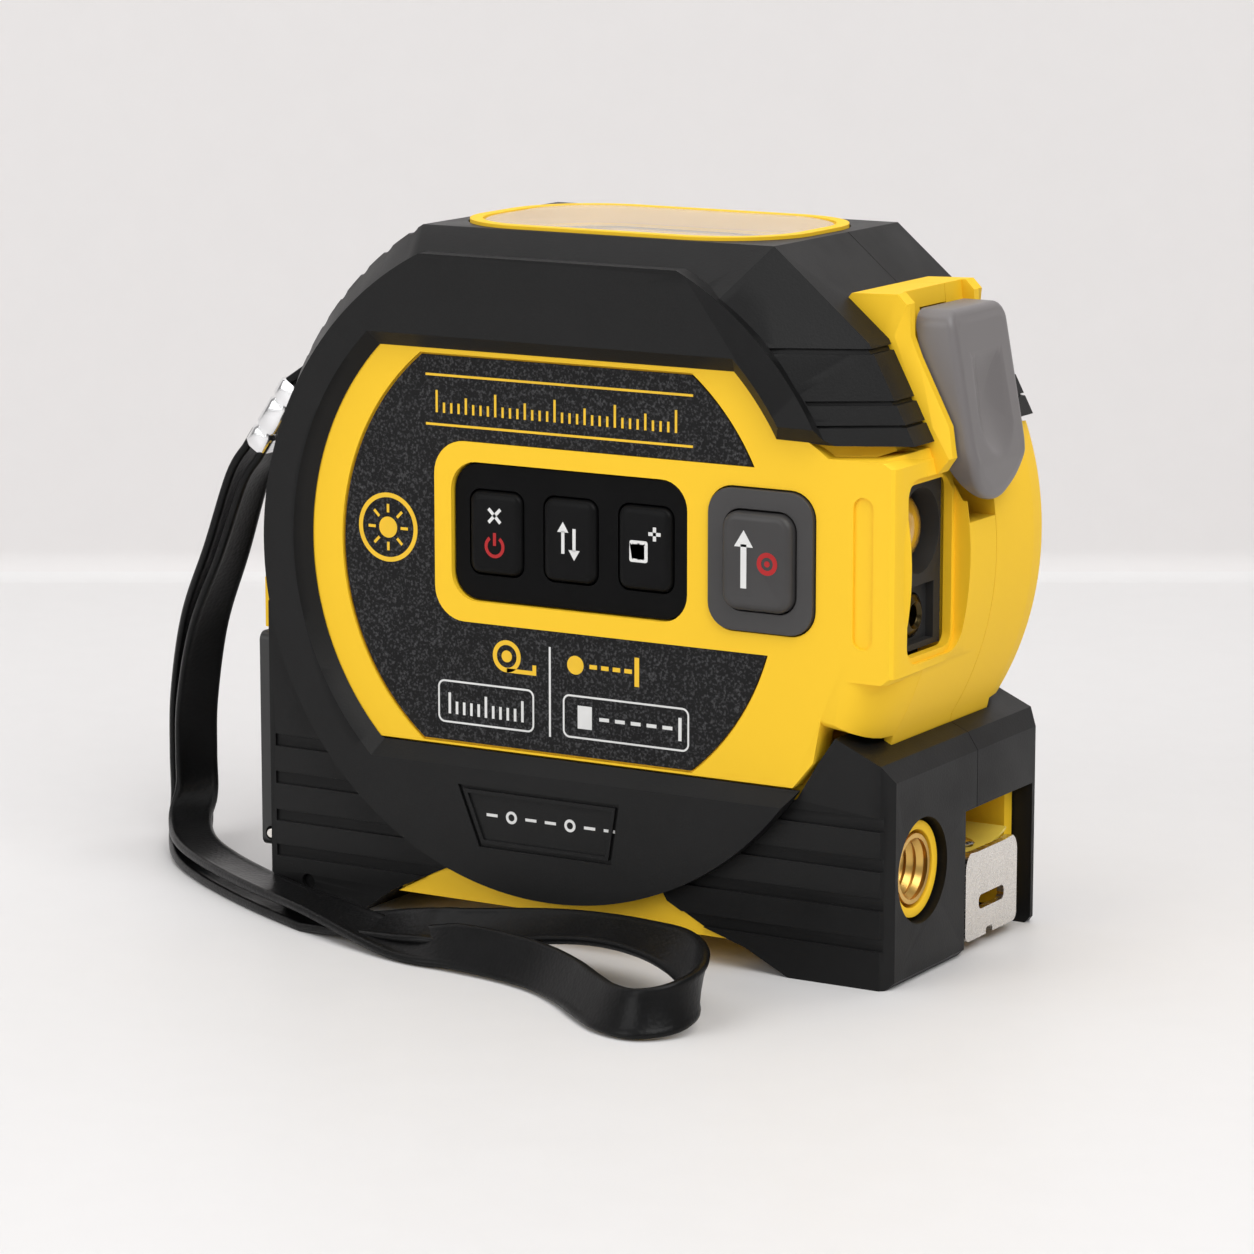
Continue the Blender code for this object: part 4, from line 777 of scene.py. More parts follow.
@dataclass
class CaseForm:
    """The outlines that the case's skins share, in the case's coordinates."""

    half_width: float = 21.45
    seam_y: float = 2.5
    seam_gap: float = 0.1
    nose_x: float = 43.5
    disc_radius: float = 39.3
    disc_drop: float = 0.8
    disc_flat: float = 34.6
    panel_radius: float = 33.2
    panel_cut: float = 23.4
    panel_half: float = 19.65
    ring_bevel: float = 2.0
    ring_end: float = 15.6
    skin: float = 2.2
    foot_half: float = 19.15
    core_half: float = 16.85
    crown_top: float = 37.2
    crown_half: float = 15.0
    rear_radius: float = 42.5
    front_radius: float = 38.0
    belly: float = 42.0
    belly_half: float = 18.65
    mouth: tuple[float, float, float] = (-0.35, 14.85, -28.3)
    insert: Point2 = (-11.1, -32.9)
    lock: tuple[float, float] = (-0.65, 7.4)
    slot: tuple[float, float, float, float] = (-10.35, 5.5, -7.9, 11.6)
    cell_bay: tuple[float, float, float, float] = (-14.8, -2.4, -37.85, -15.55)
    hinge: Point2 = (-41.1, -37.4)
    strap_y: float = -3.0
    screws: tuple[Point2, ...] = ((-27.0, 26.5), (26.6, 26.5), (-34.6, -39.6), (27.4, -39.2))

    def seam(self, side: Side) -> float:
        """The y of a half's edge at the parting line."""
        return self.seam_y + side.value * self.seam_gap / 2

    def front_arc(self, inset: float = 0.0, count: int = 40) -> Outline:
        """The front of the case in its middle plane."""
        return arc(self.nose_x - 36.0, 2.0, self.front_radius - inset, -31, 20.3, count)

    def crown(self, inset: float = 0.0, count: int = 42) -> Outline:
        """The upper case from the front shoulder over the top to the rear.

        Args:
            inset: How far inside the outer skin.
            count: Points along the rear arc.

        Returns:
            The outline, closed by two points inside the case.
        """
        radius = self.rear_radius - inset
        top = self.crown_top - inset
        shoulder = [(44.2 - inset * 1.1, 15.3), (38.0 - inset * 0.8, 27.1 - inset * 0.6),
                    (26.0 - inset * 0.4, top)]
        start = math.degrees(math.asin(top / radius))
        return shoulder + arc(0, 0, radius, 180 - start, 187, count) + [(-20, -8), (20, 8)]

    def disc(self, inset: float = 0.0, count: int = 90) -> Outline:
        """The side disc, cut flat on top."""
        return clipped_disc(self.disc_radius - inset, -self.disc_radius - self.disc_drop + inset + 0.01,
                            self.disc_flat - inset, count, -self.disc_drop)

    def crown_form(self, name: str, side: Side, inset: float, grow: float) -> bpy.types.Object:
        """The upper case as a solid: straight over the display, then sloping out to the disc's rim.

        Args:
            name: The object's name.
            side: Which half.
            inset: How far inside the outer skin.
            grow: How far it is grown, as a cutter.

        Returns:
            The solid.
        """
        sign = side.value
        outline = grown(self.crown(inset), grow)
        rim = matched(grown(self.disc(inset + 0.02), grow), outline[:-2]) + outline[-2:]
        start = self.seam(side) - sign * (8 if grow else 0)
        return loft(name, [(start, outline), (sign * (self.crown_half - inset * 0.2 + grow), outline),
                           (sign * (self.half_width - 0.9 - inset * 0.6 + grow), rim)])

    def panel(self) -> Outline:
        """The yellow side face, from behind the ring to the front of the case."""
        disc = clipped_disc(self.panel_radius + 2.6, -self.panel_cut + 0.25, 31.6, 60)
        return self.front_arc(6.0, 24) + [(34.6, self.ring_end - 0.3)] + [
            p for p in disc if p[0] < 0 or p[1] > self.ring_end + 1] + [(31.3, -self.panel_cut + 0.25),
                                                                        (33.9, -20.0)]

    def low_core(self) -> Outline:
        """The part of the case that the feet cover."""
        front = self.nose_x - self.skin - 0.3
        return [(-38.0, -8.0), (-38.0, -41.2), (-36.2, -43.0), (-27.0, -43.0), (-25.0, -self.belly),
                (26.5, -self.belly), (29.0, -43.0), (front, -43.0), (front, -23.4), (39.3, -21.2), (28,
                                                                                                    -21.2),
                (20, -14), (-20, -10)]

    def core(self) -> Outline:
        """The middle of the case, under the grips and the feet."""
        inset = self.skin + 0.3
        start = math.degrees(math.asin((self.crown_top - inset) / (self.rear_radius - inset)))
        rear = arc(0, 0, self.rear_radius - inset, 180 - start, 188, 40)
        return (self.front_arc() + [(41.2, self.ring_end - 0.1)] + self.crown(inset)[1:3] + rear
                + self.low_core()[:-4] + [(39.3, -21.2)])

    def frame(self) -> Outline:
        """The raised frame round the thumb lock, seen from the side."""
        return [(44.0, 12.0), (45.6, 14.0), (45.1, 17.5), (41.2, 25.0), (40.2, 27.4), (40.1, 31.0),
                (39.0, 32.1),
                (33.2, 31.9), (30.0, 26.0), (36.0, 12.0)]

    def pocket(self) -> Outline:
        """The space that the thumb lock slides in, seen from the side."""
        return [(70, 7.6), (70, 50), (36.6, 50), (38.6, 30.3), (40.0, 21.6), (43.2, 10.4), (45.0, 7.6)]

    def pocket_cutter(self, name: str) -> bpy.types.Object:
        """The lock's pocket with its round lower end.

        Args:
            name: The object's name.

        Returns:
            The cutter.
        """
        middle, half = self.lock
        cut = plate(name, self.pocket(), middle - half, middle + half)
        face = arc(middle, 7.6 + half, half, 180, 360, 25) + [(middle + half, 60), (middle - half, 60)]
        return combined(cut, "INTERSECT", [plate(name + "_face", face, 20, 80, Plane.YZ)])

    def label(self, radius: float, cut: float, strip: bool) -> Outline:
        """The side label: a disc cut flat above and below, with the key strip's notch where there is one.

        Args:
            radius: Radius of the label.
            cut: Height of its flats from the middle.
            strip: Whether the notch is there.

        Returns:
            The outline.
        """
        if not strip:
            return clipped_disc(radius, -cut, cut, 60)
        high, low, corner, rear = 12.9, -8.3, 4.0, -16.3
        top, bottom, flat = (math.degrees(math.asin(v / radius)) for v in (high, low, cut))
        notch = (arc(rear + corner, low + corner, corner, 270, 180, 10)
                 + arc(rear + corner, high - corner, corner, 180, 90, 10))
        return (arc(0, 0, radius, top, flat, 14) + arc(0, 0, radius, 180 - flat, 180 + flat, 60)
                + arc(0, 0, radius, 360 - flat, 360 + bottom, 16) + notch)

    def ring_opening(self, side: Side) -> bpy.types.Object:
        """The cutter for the ring's inside, with its bevelled edge.

        Args:
            side: Which half.

        Returns:
            The cutter.
        """
        opening = clipped_disc(self.panel_radius, -self.panel_cut, self.panel_cut, 70)
        opening = [p for p in opening if p[0] < 0 or p[1] > self.ring_end]
        opening += [(70, -self.panel_cut), (70, self.ring_end)]
        opening = sorted(opening, key=lambda p: math.atan2(p[1], p[0]))
        sign = side.value
        return loft("ring_opening", [(sign * 10, opening), (sign * self.panel_half, opening),
                                     (sign * (self.half_width + 0.2), grown(opening, self.ring_bevel))])

    def mouth_cutter(self, name: str, wall: float) -> bpy.types.Object:
        """The opening that the tape comes out of.

        Args:
            name: The object's name.
            wall: How far it is widened to the right.

        Returns:
            The cutter.
        """
        near, far, top = self.mouth
        return block(name, 36, 60, near, far + wall, -60, top)

    def screw_ways(self, radius: float) -> list[bpy.types.Object]:
        """The four screw wells in the right side."""
        return [rod(f"screw_way_{i}", radius, (x, 9.7, z), 30, "Y", 32) for i,
                (x, z) in enumerate(self.screws)]

    def case_solid(self, side: Side, grow: float) -> bpy.types.Object:
        """The outer form of half of the yellow case.

        Args:
            side: Which half.
            grow: How far it is grown, as a cutter for the skins over it.

        Returns:
            The solid.
        """
        sign = side.value
        start = self.seam(side) - sign * (8 if grow else 0)
        inside = sign * 8
        middle, half = self.lock
        back = [(20, 12), (20, -14)]
        shape = plate(f"{side.word}_case", grown(self.core(), grow), start, sign * (12.2 + grow))
        corner = [(sign * 6.5, 0.0)] + [(sign * (y + grow), inset) for y, inset in self.corner_steps()]
        pieces = [
            self.crown_form("crown", side, self.skin + 0.3, grow),
            plate("low", grown(self.low_core(), grow), inside, sign * (self.core_half + grow)),
            plate("panel", grown(self.panel(), grow), inside, sign * (self.panel_half + grow)),
            plate("belly", grown([(-22.4, -42.0), (24.2, -42.0), (14.4, -38.0), (11.0, -33.0), (-10.5, -33.0),
                                  (-13.6, -37.2)], grow), inside, sign * (self.belly_half + grow)),
            loft("corner", [(y, grown(self.front_arc(inset, 40) + back, grow)) for y, inset in corner]),
        ]
        outer = middle + sign * (half + 2.0 + grow)
        flare = [(x - 1.6 if 14 < z < 31 else x, z) for x, z in self.frame()]
        pieces.append(loft("frame", [(start, grown(self.frame(), grow)), (outer - sign * 0.9,
                                                                          grown(self.frame(), grow)),
                                     (outer, grown(flare, grow))]))
        if side is Side.LEFT:
            pieces.append(self.boss(grow))
            catch = [(-42.3, -12.2), (-38.5, -12.4), (-38.5, -5.4), (-41.6, -5.4), (-42.3, -6.2)]
            pieces.append(plate("catch", grown(catch, grow), -1.2, -17.0))
        return combined(shape, "UNION", pieces)

    @staticmethod
    def corner_steps() -> list[tuple[float, float]]:
        """The round front corner in plan, as (y, inset) steps."""
        return [(12.0, 0.0)] + [(12.0 + 7.65 * math.sin(a), 5.2 * (1 - math.cos(a)))
                                for a in (math.radians(10 * i) for i in range(2, 10))]

    def boss(self, grow: float) -> bpy.types.Object:
        """The squared left front corner that holds the optics: straight at the side, round at the middle.

        Args:
            grow: How far it is grown, as a cutter.

        Returns:
            The solid.
        """
        low, high, edge = -10.3, 14.6, 43.9
        rings = []
        for y in (-self.panel_half - grow, -19.35, -18.8, -17.5, -16, -14, -12, -10, -8, -6, -4, -2.5):
            share = eased((y + 17.5) / 12.5)
            side = -y - 18.8 if y < -18.8 else 0.0
            inset = 0.9 - math.sqrt(max(0.0, 0.81 - side * side)) if side < 0.9 else 0.9
            heights = [low + 0.8 + (high - low - 1.4) * i / 15 for i in range(16)]
            ring = [(30.0, y, low), (edge - 1.0 - inset, y, low - grow)]
            for z in heights:
                round_x = 7.5 + math.sqrt(38.0 ** 2 - (z - 2) ** 2)
                ring.append((edge + (round_x - edge) * share - inset + grow + 0.02, y, z))
            ring += [(edge - 1.0 - inset, y, high + grow), (30.0, y, high)]
            rings.append(ring)
        return stacked("boss", rings)


@dataclass
class Housing:
    """The yellow case half, hollow inside."""

    form: CaseForm
    side: Side

    def build(self) -> None:
        """Builds the half, cuts its openings and dresses it."""
        shape = self.form.case_solid(self.side, 0)
        shape.name = f"case_half_{self.side.word}"
        cuts = self.cavities() + [self.form.pocket_cutter("pocket")]
        cuts += self.left_cuts() if self.side is Side.LEFT else self.right_cuts()
        combined(shape, "DIFFERENCE", cuts)
        softened(shape, 0.35, 2, 34)
        dress(shape, FINISH.case, "case", f"housing_{self.side.word}")

    def cavities(self) -> list[bpy.types.Object]:
        """The hollows for the reel, the board, the cells and the display.

        Returns:
            The cutters.
        """
        form, sign = self.form, self.side.value
        edge = form.seam(self.side) - sign * 2
        left = self.side is Side.LEFT
        low = [(-35.6, -14), (-35.6, -36.2), (-31.5, -36.2), (-31.5, -39.8), (23.6, -39.8), (23.6, -36.0),
               (31.0, -36.0)]
        nose = [(31, -16)] if left else [(31, -40.4), (38.6, -40.4), (38.6, -18)]
        cut = form.label(29.25, 22.95, left)
        return [
            plate("cavity", clipped_disc(34.0, -21.5, 29.0, 30), edge, sign * 17.55),
            plate("low_cavity", low + nose, edge, sign * 14.85),
            block("blade_way", 30, 37, form.mouth[0], 8, -36.0, form.mouth[2]),
            block("front_bay", 14, 39, edge, sign * 15.9, -19.5, 12.2),
            block("display_well", -17.2, 22.0, edge, sign * 12.6, 27, 45),
            form.mouth_cutter("mouth", 0.0),
            plate("label_seat", cut, sign * (form.panel_half - 0.6), sign * 30),
        ]

    def left_cuts(self) -> list[bpy.types.Object]:
        """The openings of the left half: keys, optics, lock slot, battery bay, insert, grip groove and strap.

        Returns:
            The cutters.
        """
        form = self.form
        middle, half, low, high = form.slot
        near, far, floor, roof = form.cell_bay
        slot = rounded_box(middle - half, middle + half, low, high, 1.6, 8)
        groove = rounded_box(38.7, 41.2, -6.5, 10.6, 1.2, 8)
        return [
            plate("pad_hole", rounded_box(-14.0, 17.6, -5.8, 10.6, 3.4, 9), -30, -15.55),
            plate("plate_hole", centred_box(27.2, 2.4, 13.8, 16.6, 3.2), -30, -15.55),
            plate("slot", slot, 38, 60, Plane.YZ),
            plate("slot_edge", grown(slot, 0.7), 43.45, 60, Plane.YZ),
            block("optics_bay", 20, 42.4, middle - half - 0.3, middle + half + 0.6, -9.4, 12.4),
            plate("side_groove", groove, -form.panel_half + 0.35, -30),
            block("neck_slot", 28, 46, -4.05, form.seam_y + 1, 6, 30),
            block("cell_way", -60, -30, near, far, floor, roof),
            rod("hinge_groove", 2.4, (form.hinge[0], -18.65, form.hinge[1]), 18.05, "Y", 32),
            rod("insert_bore", 4.2, (30.5, *form.insert), 30, "X", 64),
            rod("collar_seat", 5.75, (39.6, *form.insert), 20, "X", 64),
            *strap_cutters(form),
        ]

    def right_cuts(self) -> list[bpy.types.Object]:
        """The axle's seat and the screw wells of the right half."""
        return [rod("axle_seat", 3.3, (-2.0, 14.5, -9.1), 3.6, "Y", 48), *self.form.screw_ways(2.6)]


def strap_cutters(form: CaseForm) -> list[bpy.types.Object]:
    """The notch in the upper rear with the hole for the strap's pin.

    Args:
        form: The case's outlines.

    Returns:
        The cutters.
    """
    y = form.strap_y
    return [block("strap_notch", -60, -36.8, y - 3.2, y + 3.2, 15.0, 22.2),
            rod("pin_hole", 1.0, (-38.9, y - 4.7, 19.0), 9.4, "Y", 24)]


@dataclass
class Grip:
    """The soft black overmould: the side ring, its lower disc and the shoulder over the top."""

    form: CaseForm
    side: Side
    rib_depth: float = 0.45
    front_steps: tuple[tuple[float, float], ...] = ((25.9, 26.5), (20.4, 20.9), (18.0, 18.3))
    rear_ribs: tuple[float, float, int] = (121.0, 173.0, 10)

    def build(self) -> None:
        """Builds the grip with its ribs, badge field and openings, and dresses it."""
        form, sign = self.form, self.side.value
        shape = form.crown_form(f"grip_skin_{self.side.word}", self.side, 0.0, 0)
        above = [(70, form.ring_end), (70, 60), (-70, 60), (-70, -4.6), (0, -4.6), (0, form.ring_end)]
        combined(shape, "INTERSECT", [plate("above", above, -40, 40)])
        rim = plate("rim", form.disc(), sign * (form.foot_half + 0.15), sign * form.half_width)
        combined(shape, "UNION", [rim])
        cuts = [form.case_solid(self.side, 0.12), form.ring_opening(self.side)]
        cuts += [form.pocket_cutter("lock_way"), self.bezel_cutter(), *self.rib_cutters(),
                 *self.badge_cutters()]
        cuts += strap_cutters(form) if self.side is Side.LEFT else form.screw_ways(2.6)
        combined(shape, "DIFFERENCE", cuts)
        softened(shape, 0.45, 3, 27)
        dress(shape, FINISH.grip, "case", f"grip_{self.side.word}")

    @staticmethod
    def bezel_cutter() -> bpy.types.Object:
        """The opening for the display's bezel."""
        return plate("bezel_hole", rounded_box(-19.75, 24.55, -14.35, 14.35, 11.1, 20), 30, 50, Plane.XY)

    def rib_cutters(self) -> list[bpy.types.Object]:
        """The shallow steps on the front shoulder and the scallops over the rear.

        Returns:
            The cutters, none deeper than the rib depth.
        """
        form, sign = self.form, self.side.value
        cuts = []
        core = self.depth_core()
        for index, (low, high) in enumerate(self.front_steps):
            slab = block(f"step_{index}", 27, 60, sign * 3, sign * 20.3, low, high)
            cuts.append(combined(slab, "DIFFERENCE", [copied(core)]))
        first, last, count = self.rear_ribs
        for i in range(count):
            angle = math.radians(first + (last - first) * i / (count - 1))
            reach = form.rear_radius + 0.55
            place = (reach * math.cos(angle), sign * 6.5 - (0 if sign > 0 else 11.5), reach * math.sin(angle))
            cuts.append(rod(f"scallop_{i}", 0.95, place, 11.5, "Y", 20))
        bpy.data.objects.remove(core)
        return cuts

    def depth_core(self) -> bpy.types.Object:
        """The form that no rib cuts into."""
        return self.form.crown_form("depth_core", self.side, self.rib_depth, 0)

    def badge_cutters(self) -> list[bpy.types.Object]:
        """The sunk field on the lower disc, with a raised line left inside its edge.

        Returns:
            The cutters.
        """
        sign, half = self.side.value, self.form.half_width
        field_outline = [(-12.2, -27.3), (9.7, -27.3), (8.6, -34.5), (-9.3, -34.5)]
        rim = plate("badge_line", [grown(field_outline, 0), grown(field_outline, -0.45)], sign * (half - 0.4),
                    sign * (half + 1))
        return [rim, plate("badge_field", grown(field_outline, -0.9), sign * (half - 0.3), sign * (half + 1))]


def copied(obj: bpy.types.Object) -> bpy.types.Object:
    """Copies an object with its mesh.

    Args:
        obj: The object.

    Returns:
        The copy, in the scene.
    """
    twin = bpy.data.objects.new(obj.name + "_copy", obj.data.copy())
    bpy.context.scene.collection.objects.link(twin)
    return twin


@dataclass
class Feet:
    """The black caps over the nose and the tail of one half."""

    form: CaseForm
    side: Side
    groove_depth: float = 0.32
    front_grooves: tuple[Point2, ...] = ((-27.1, -25.6), (-31.7, -30.2), (-36.2, -34.7), (-40.9, -39.4))
    rear_grooves: tuple[Point2, ...] = ((-26.2, -24.7), (-30.8, -29.3), (-35.4, -34.0), (-39.7, -38.3))

    def front_outline(self) -> Outline:
        """The nose foot seen from the side."""
        return [(42.7, -45.4), (43.5, -44.6), (43.5, -21.6), (42.2, -19.6), (36.4, -17.0), (34.2, -20.2),
                (31.6, -24.5), (26.0, -27.0), (13.0, -35.5), (14.7, -38.4), (19.5, -40.9), (25.0, -42.6),
                (30.6, -45.4)]

    def rear_outline(self) -> Outline:
        """The tail foot seen from the side."""
        return [(-40.4, -8.5), (-40.4, -41.8), (-37.4, -45.4), (-28.0, -45.4), (-24.6, -43.0), (-22.8, -41.8),
                (-13.9, -37.6), (-12.0, -35.0), (-26.0, -26.0), (-33.0, -18.0), (-36.4, -8.5)]

    def build(self) -> None:
        """Builds both feet of the half and dresses them."""
        form, side = self.form, self.side
        far = side.value * form.foot_half
        front = plate(f"nose_foot_{side.word}", self.front_outline(), form.seam(side), far)
        rear = plate(f"tail_foot_{side.word}", self.rear_outline(), form.seam(side), far)
        front_cuts = [form.case_solid(side, 0.12), form.mouth_cutter("foot_mouth", 2.3),
                      self.corner_chamfer()]
        rear_cuts = [form.case_solid(side, 0.12)]
        front_cuts += self.groove_cutters(self.front_grooves, 12, 42.6)
        rear_cuts += self.groove_cutters(self.rear_grooves, -39.6, -10)
        if side is Side.LEFT:
            front_cuts.append(rod("insert_hole", 6.1, (30, *form.insert), 30, "X", 72))
            near, low_far, floor, roof = form.cell_bay
            rear_cuts += [block("cell_way", -60, -30, near, low_far, floor, roof),
                          rod("hinge_groove", 2.4, (form.hinge[0], -18.65, form.hinge[1]), 18.05, "Y", 32),
                          rod("dimple", 0.9, (-35.1, -18.6, -42.4), -2.0, "Y", 24)]
        else:
            front_cuts.append(form.screw_ways(2.6)[3])
            rear_cuts.append(rod("foot_way", 2.6, (*form.screws[2][:1], 9.7, form.screws[2][1]), 30, "Y", 32))
        for obj, cuts, node in ((front, front_cuts, "front"), (rear, rear_cuts, "rear")):
            combined(obj, "DIFFERENCE", cuts)
            softened(obj, 0.4, 3, 27)
            dress(obj, FINISH.foot, "case", f"{node}_foot_{side.word}")
        for stray in [o for o in bpy.data.objects if o.name.startswith("screw_way_")]:
            bpy.data.objects.remove(stray)

    def corner_chamfer(self) -> bpy.types.Object:
        """The slanted cut down the foot's outer front edge.

        Returns:
            The cutter.
        """
        sign, half = self.side.value, self.form.foot_half
        edge = [(44.5, sign * (half - 2.3)), (44.5, sign * (half + 1)), (41.2, sign * (half + 1))]
        return plate("corner_chamfer", edge if sign > 0 else edge[::-1], -60, -10, Plane.XY)

    def groove_cutters(self, grooves: tuple[Point2, ...], start: float, end: float) -> list[bpy.types.Object]:
        """The shallow grooves along the foot's side.

        Args:
            grooves: Pairs of lower and upper height.
            start: Where they start in x.
            end: Where they end.

        Returns:
            The cutters.
        """
        sign, half = self.side.value, self.form.foot_half
        return [block(f"groove_{i}", start, end, sign * (half - self.groove_depth), sign * (half + 2), low,
                      high)
                for i, (low, high) in enumerate(grooves)]


# Printed marks


@dataclass
class Marks:
    """Thin printed shapes that lie on a flat side face, gathered into one piece.

    Attributes:
        name: The piece's name.
        y: The y of the face they are printed on, on the left side.
        lift: How far they stand off it.
    """

    name: str
    y: float
    lift: float = 0.03
    parts: list[bpy.types.Object] = field(default_factory=list)

    def area(self, loops: Outline | list[Outline]) -> None:
        """Adds a filled outline, with any holes."""
        self.parts.append(plate("mark", loops, self.y - self.lift, self.y - 0.005))

    def line(self, start: Point2, end: Point2, width: float) -> None:
        """Adds a straight stroke.

        Args:
            start: One end.
            end: The other end.
            width: Its width.
        """
        dx, dz = end[0] - start[0], end[1] - start[1]
        reach = math.hypot(dx, dz)
        nx, nz = -dz / reach * width / 2, dx / reach * width / 2
        self.area([(start[0] - nx, start[1] - nz), (end[0] - nx, end[1] - nz), (end[0] + nx, end[1] + nz),
                   (start[0] + nx, start[1] + nz)])

    def ring(self, x: float, z: float, outer: float, inner: float, start: float = 0,
             end: float = 360) -> None:
        """Adds a ring or a part of one.

        Args:
            x: Centre.
            z: Centre.
            outer: Outer radius.
            inner: Inner radius; 0 for a full disc.
            start: First angle in degrees.
            end: Last angle in degrees.
        """
        if end - start < 360:
            self.area(arc(x, z, outer, start, end, 28) + arc(x, z, inner, end, start, 28))
        elif inner > 0:
            self.area([arc(x, z, outer, 0, 354, 60), arc(x, z, inner, 0, 354, 60)])
        else:
            self.area(arc(x, z, outer, 0, 354, 60))

    def frame(self, x0: float, x1: float, z0: float, z1: float, radius: float, width: float) -> None:
        """Adds a rounded rectangle drawn as a line."""
        outer = rounded_box(x0, x1, z0, z1, radius)
        self.area([outer, grown(outer, -width)])

    def printed(self, finish: Finish, body: str = "case") -> bpy.types.Object:
        """Joins the shapes into one piece and dresses it.

        Args:
            finish: The ink.
            body: The body it rides on.

        Returns:
            The piece.
        """
        bm = bmesh.new()
        for part in self.parts:
            bm.from_mesh(part.data)
            bpy.data.objects.remove(part)
        mesh = bpy.data.meshes.new(self.name)
        bm.to_mesh(mesh)
        bm.free()
        obj = bpy.data.objects.new(self.name, mesh)
        bpy.context.scene.collection.objects.link(obj)
        self.parts = []
        return dress(obj, finish, body)


@dataclass
class SideLabel:
    """The printed label on a side panel."""

    form: CaseForm
    side: Side
    radius: float = 29.0
    cut: float = 22.7
    face: float = 19.45

    def build(self) -> None:
        """Builds the label and, on the keyed side, its printed marks."""
        sign = self.side.value
        outline = self.form.label(self.radius, self.cut, self.side is Side.LEFT)
        shape = plate(f"side_label_{self.side.word}", outline, sign * self.face, sign * (self.face - 0.3))
        softened(shape, 0.06, 2, 50)
        dress(shape, FINISH.label, "case", f"label_{self.side.word}")
        if self.side is Side.LEFT:
            self.yellow_marks()
            self.pale_marks()

    def yellow_marks(self) -> None:
        """The two rules with a scale between them, the beam emblem, and the two function pictures."""
        ink = Marks("label_yellow_marks", -self.face)
        ink.line((-17.5, 20.4), (18.2, 20.4), 0.28)
        ink.line((-17.5, 14.6), (18.2, 14.6), 0.28)
        for i in range(33):
            height = 2.6 if i % 8 == 0 else (1.9 if i % 4 == 0 else 1.2)
            x = -16.0 + i
            ink.line((x, 16.0), (x, 16.0 + height), 0.3)
        ink.ring(-22.9, 1.9, 4.1, 3.55)
        ink.ring(-22.9, 1.9, 1.25, 0)
        for i in range(8):
            a = math.radians(45 * i)
            ink.line((-22.9 + 1.75 * math.cos(a), 1.9 + 1.75 * math.sin(a)),
                     (-22.9 + 2.75 * math.cos(a), 1.9 + 2.75 * math.sin(a)), 0.34)
        ink.ring(-6.6, -11.9, 1.9, 1.35)
        ink.ring(-6.6, -11.9, 0.7, 0)
        ink.area([(-6.6, -13.8), (-2.6, -13.8), (-2.6, -12.6), (-3.1, -12.6), (-3.1, -13.3), (-6.6, -13.3)])
        ink.ring(2.7, -12.0, 1.1, 0)
        for i in range(4):
            ink.line((4.6 + 1.55 * i, -12.0), (5.6 + 1.55 * i, -12.0), 0.5)
        ink.area([(10.6, -13.7), (11.2, -13.7), (11.2, -10.3), (10.6, -10.3)])
        ink.printed(FINISH.yellow_ink)

    def pale_marks(self) -> None:
        """The divider and the two boxed pictures: a rule's ticks and a row of rays."""
        ink = Marks("label_pale_marks", -self.face)
        ink.line((-0.75, -10.2), (-0.75, -20.8), 0.26)
        ink.frame(-16.1, -2.9, -20.6, -15.5, 0.9, 0.22)
        ink.frame(1.0, 17.8, -20.6, -15.5, 0.9, 0.22)
        for i in range(11):
            height = 2.5 if i % 5 == 0 else 1.5
            ink.line((-14.5 + i, -19.5), (-14.5 + i, -19.5 + height), 0.34)
        ink.area([(3.0, -19.4), (4.9, -19.4), (4.9, -16.7), (3.0, -16.7)])
        for i in range(5):
            ink.line((5.9 + 2.1 * i, -18.05), (7.2 + 2.1 * i, -18.05), 0.42)
        ink.line((16.6, -19.4), (16.6, -16.7), 0.42)
        ink.printed(FINISH.white_ink)


def badge_marks(form: CaseForm) -> None:
    """Prints a plain row of bars in the sunk field of the lower disc.

    Args:
        form: The case's outlines.
    """
    ink = Marks("badge_marks", -form.half_width + 0.3)
    for i in range(7):
        x = -8.4 + 2.65 * i
        if i % 3 == 1:
            ink.ring(x + 0.75, -30.6, 0.75, 0.42)
        else:
            ink.line((x, -30.6), (x + 1.5, -30.6), 0.34)
    ink.printed(FINISH.white_ink)


# Keys


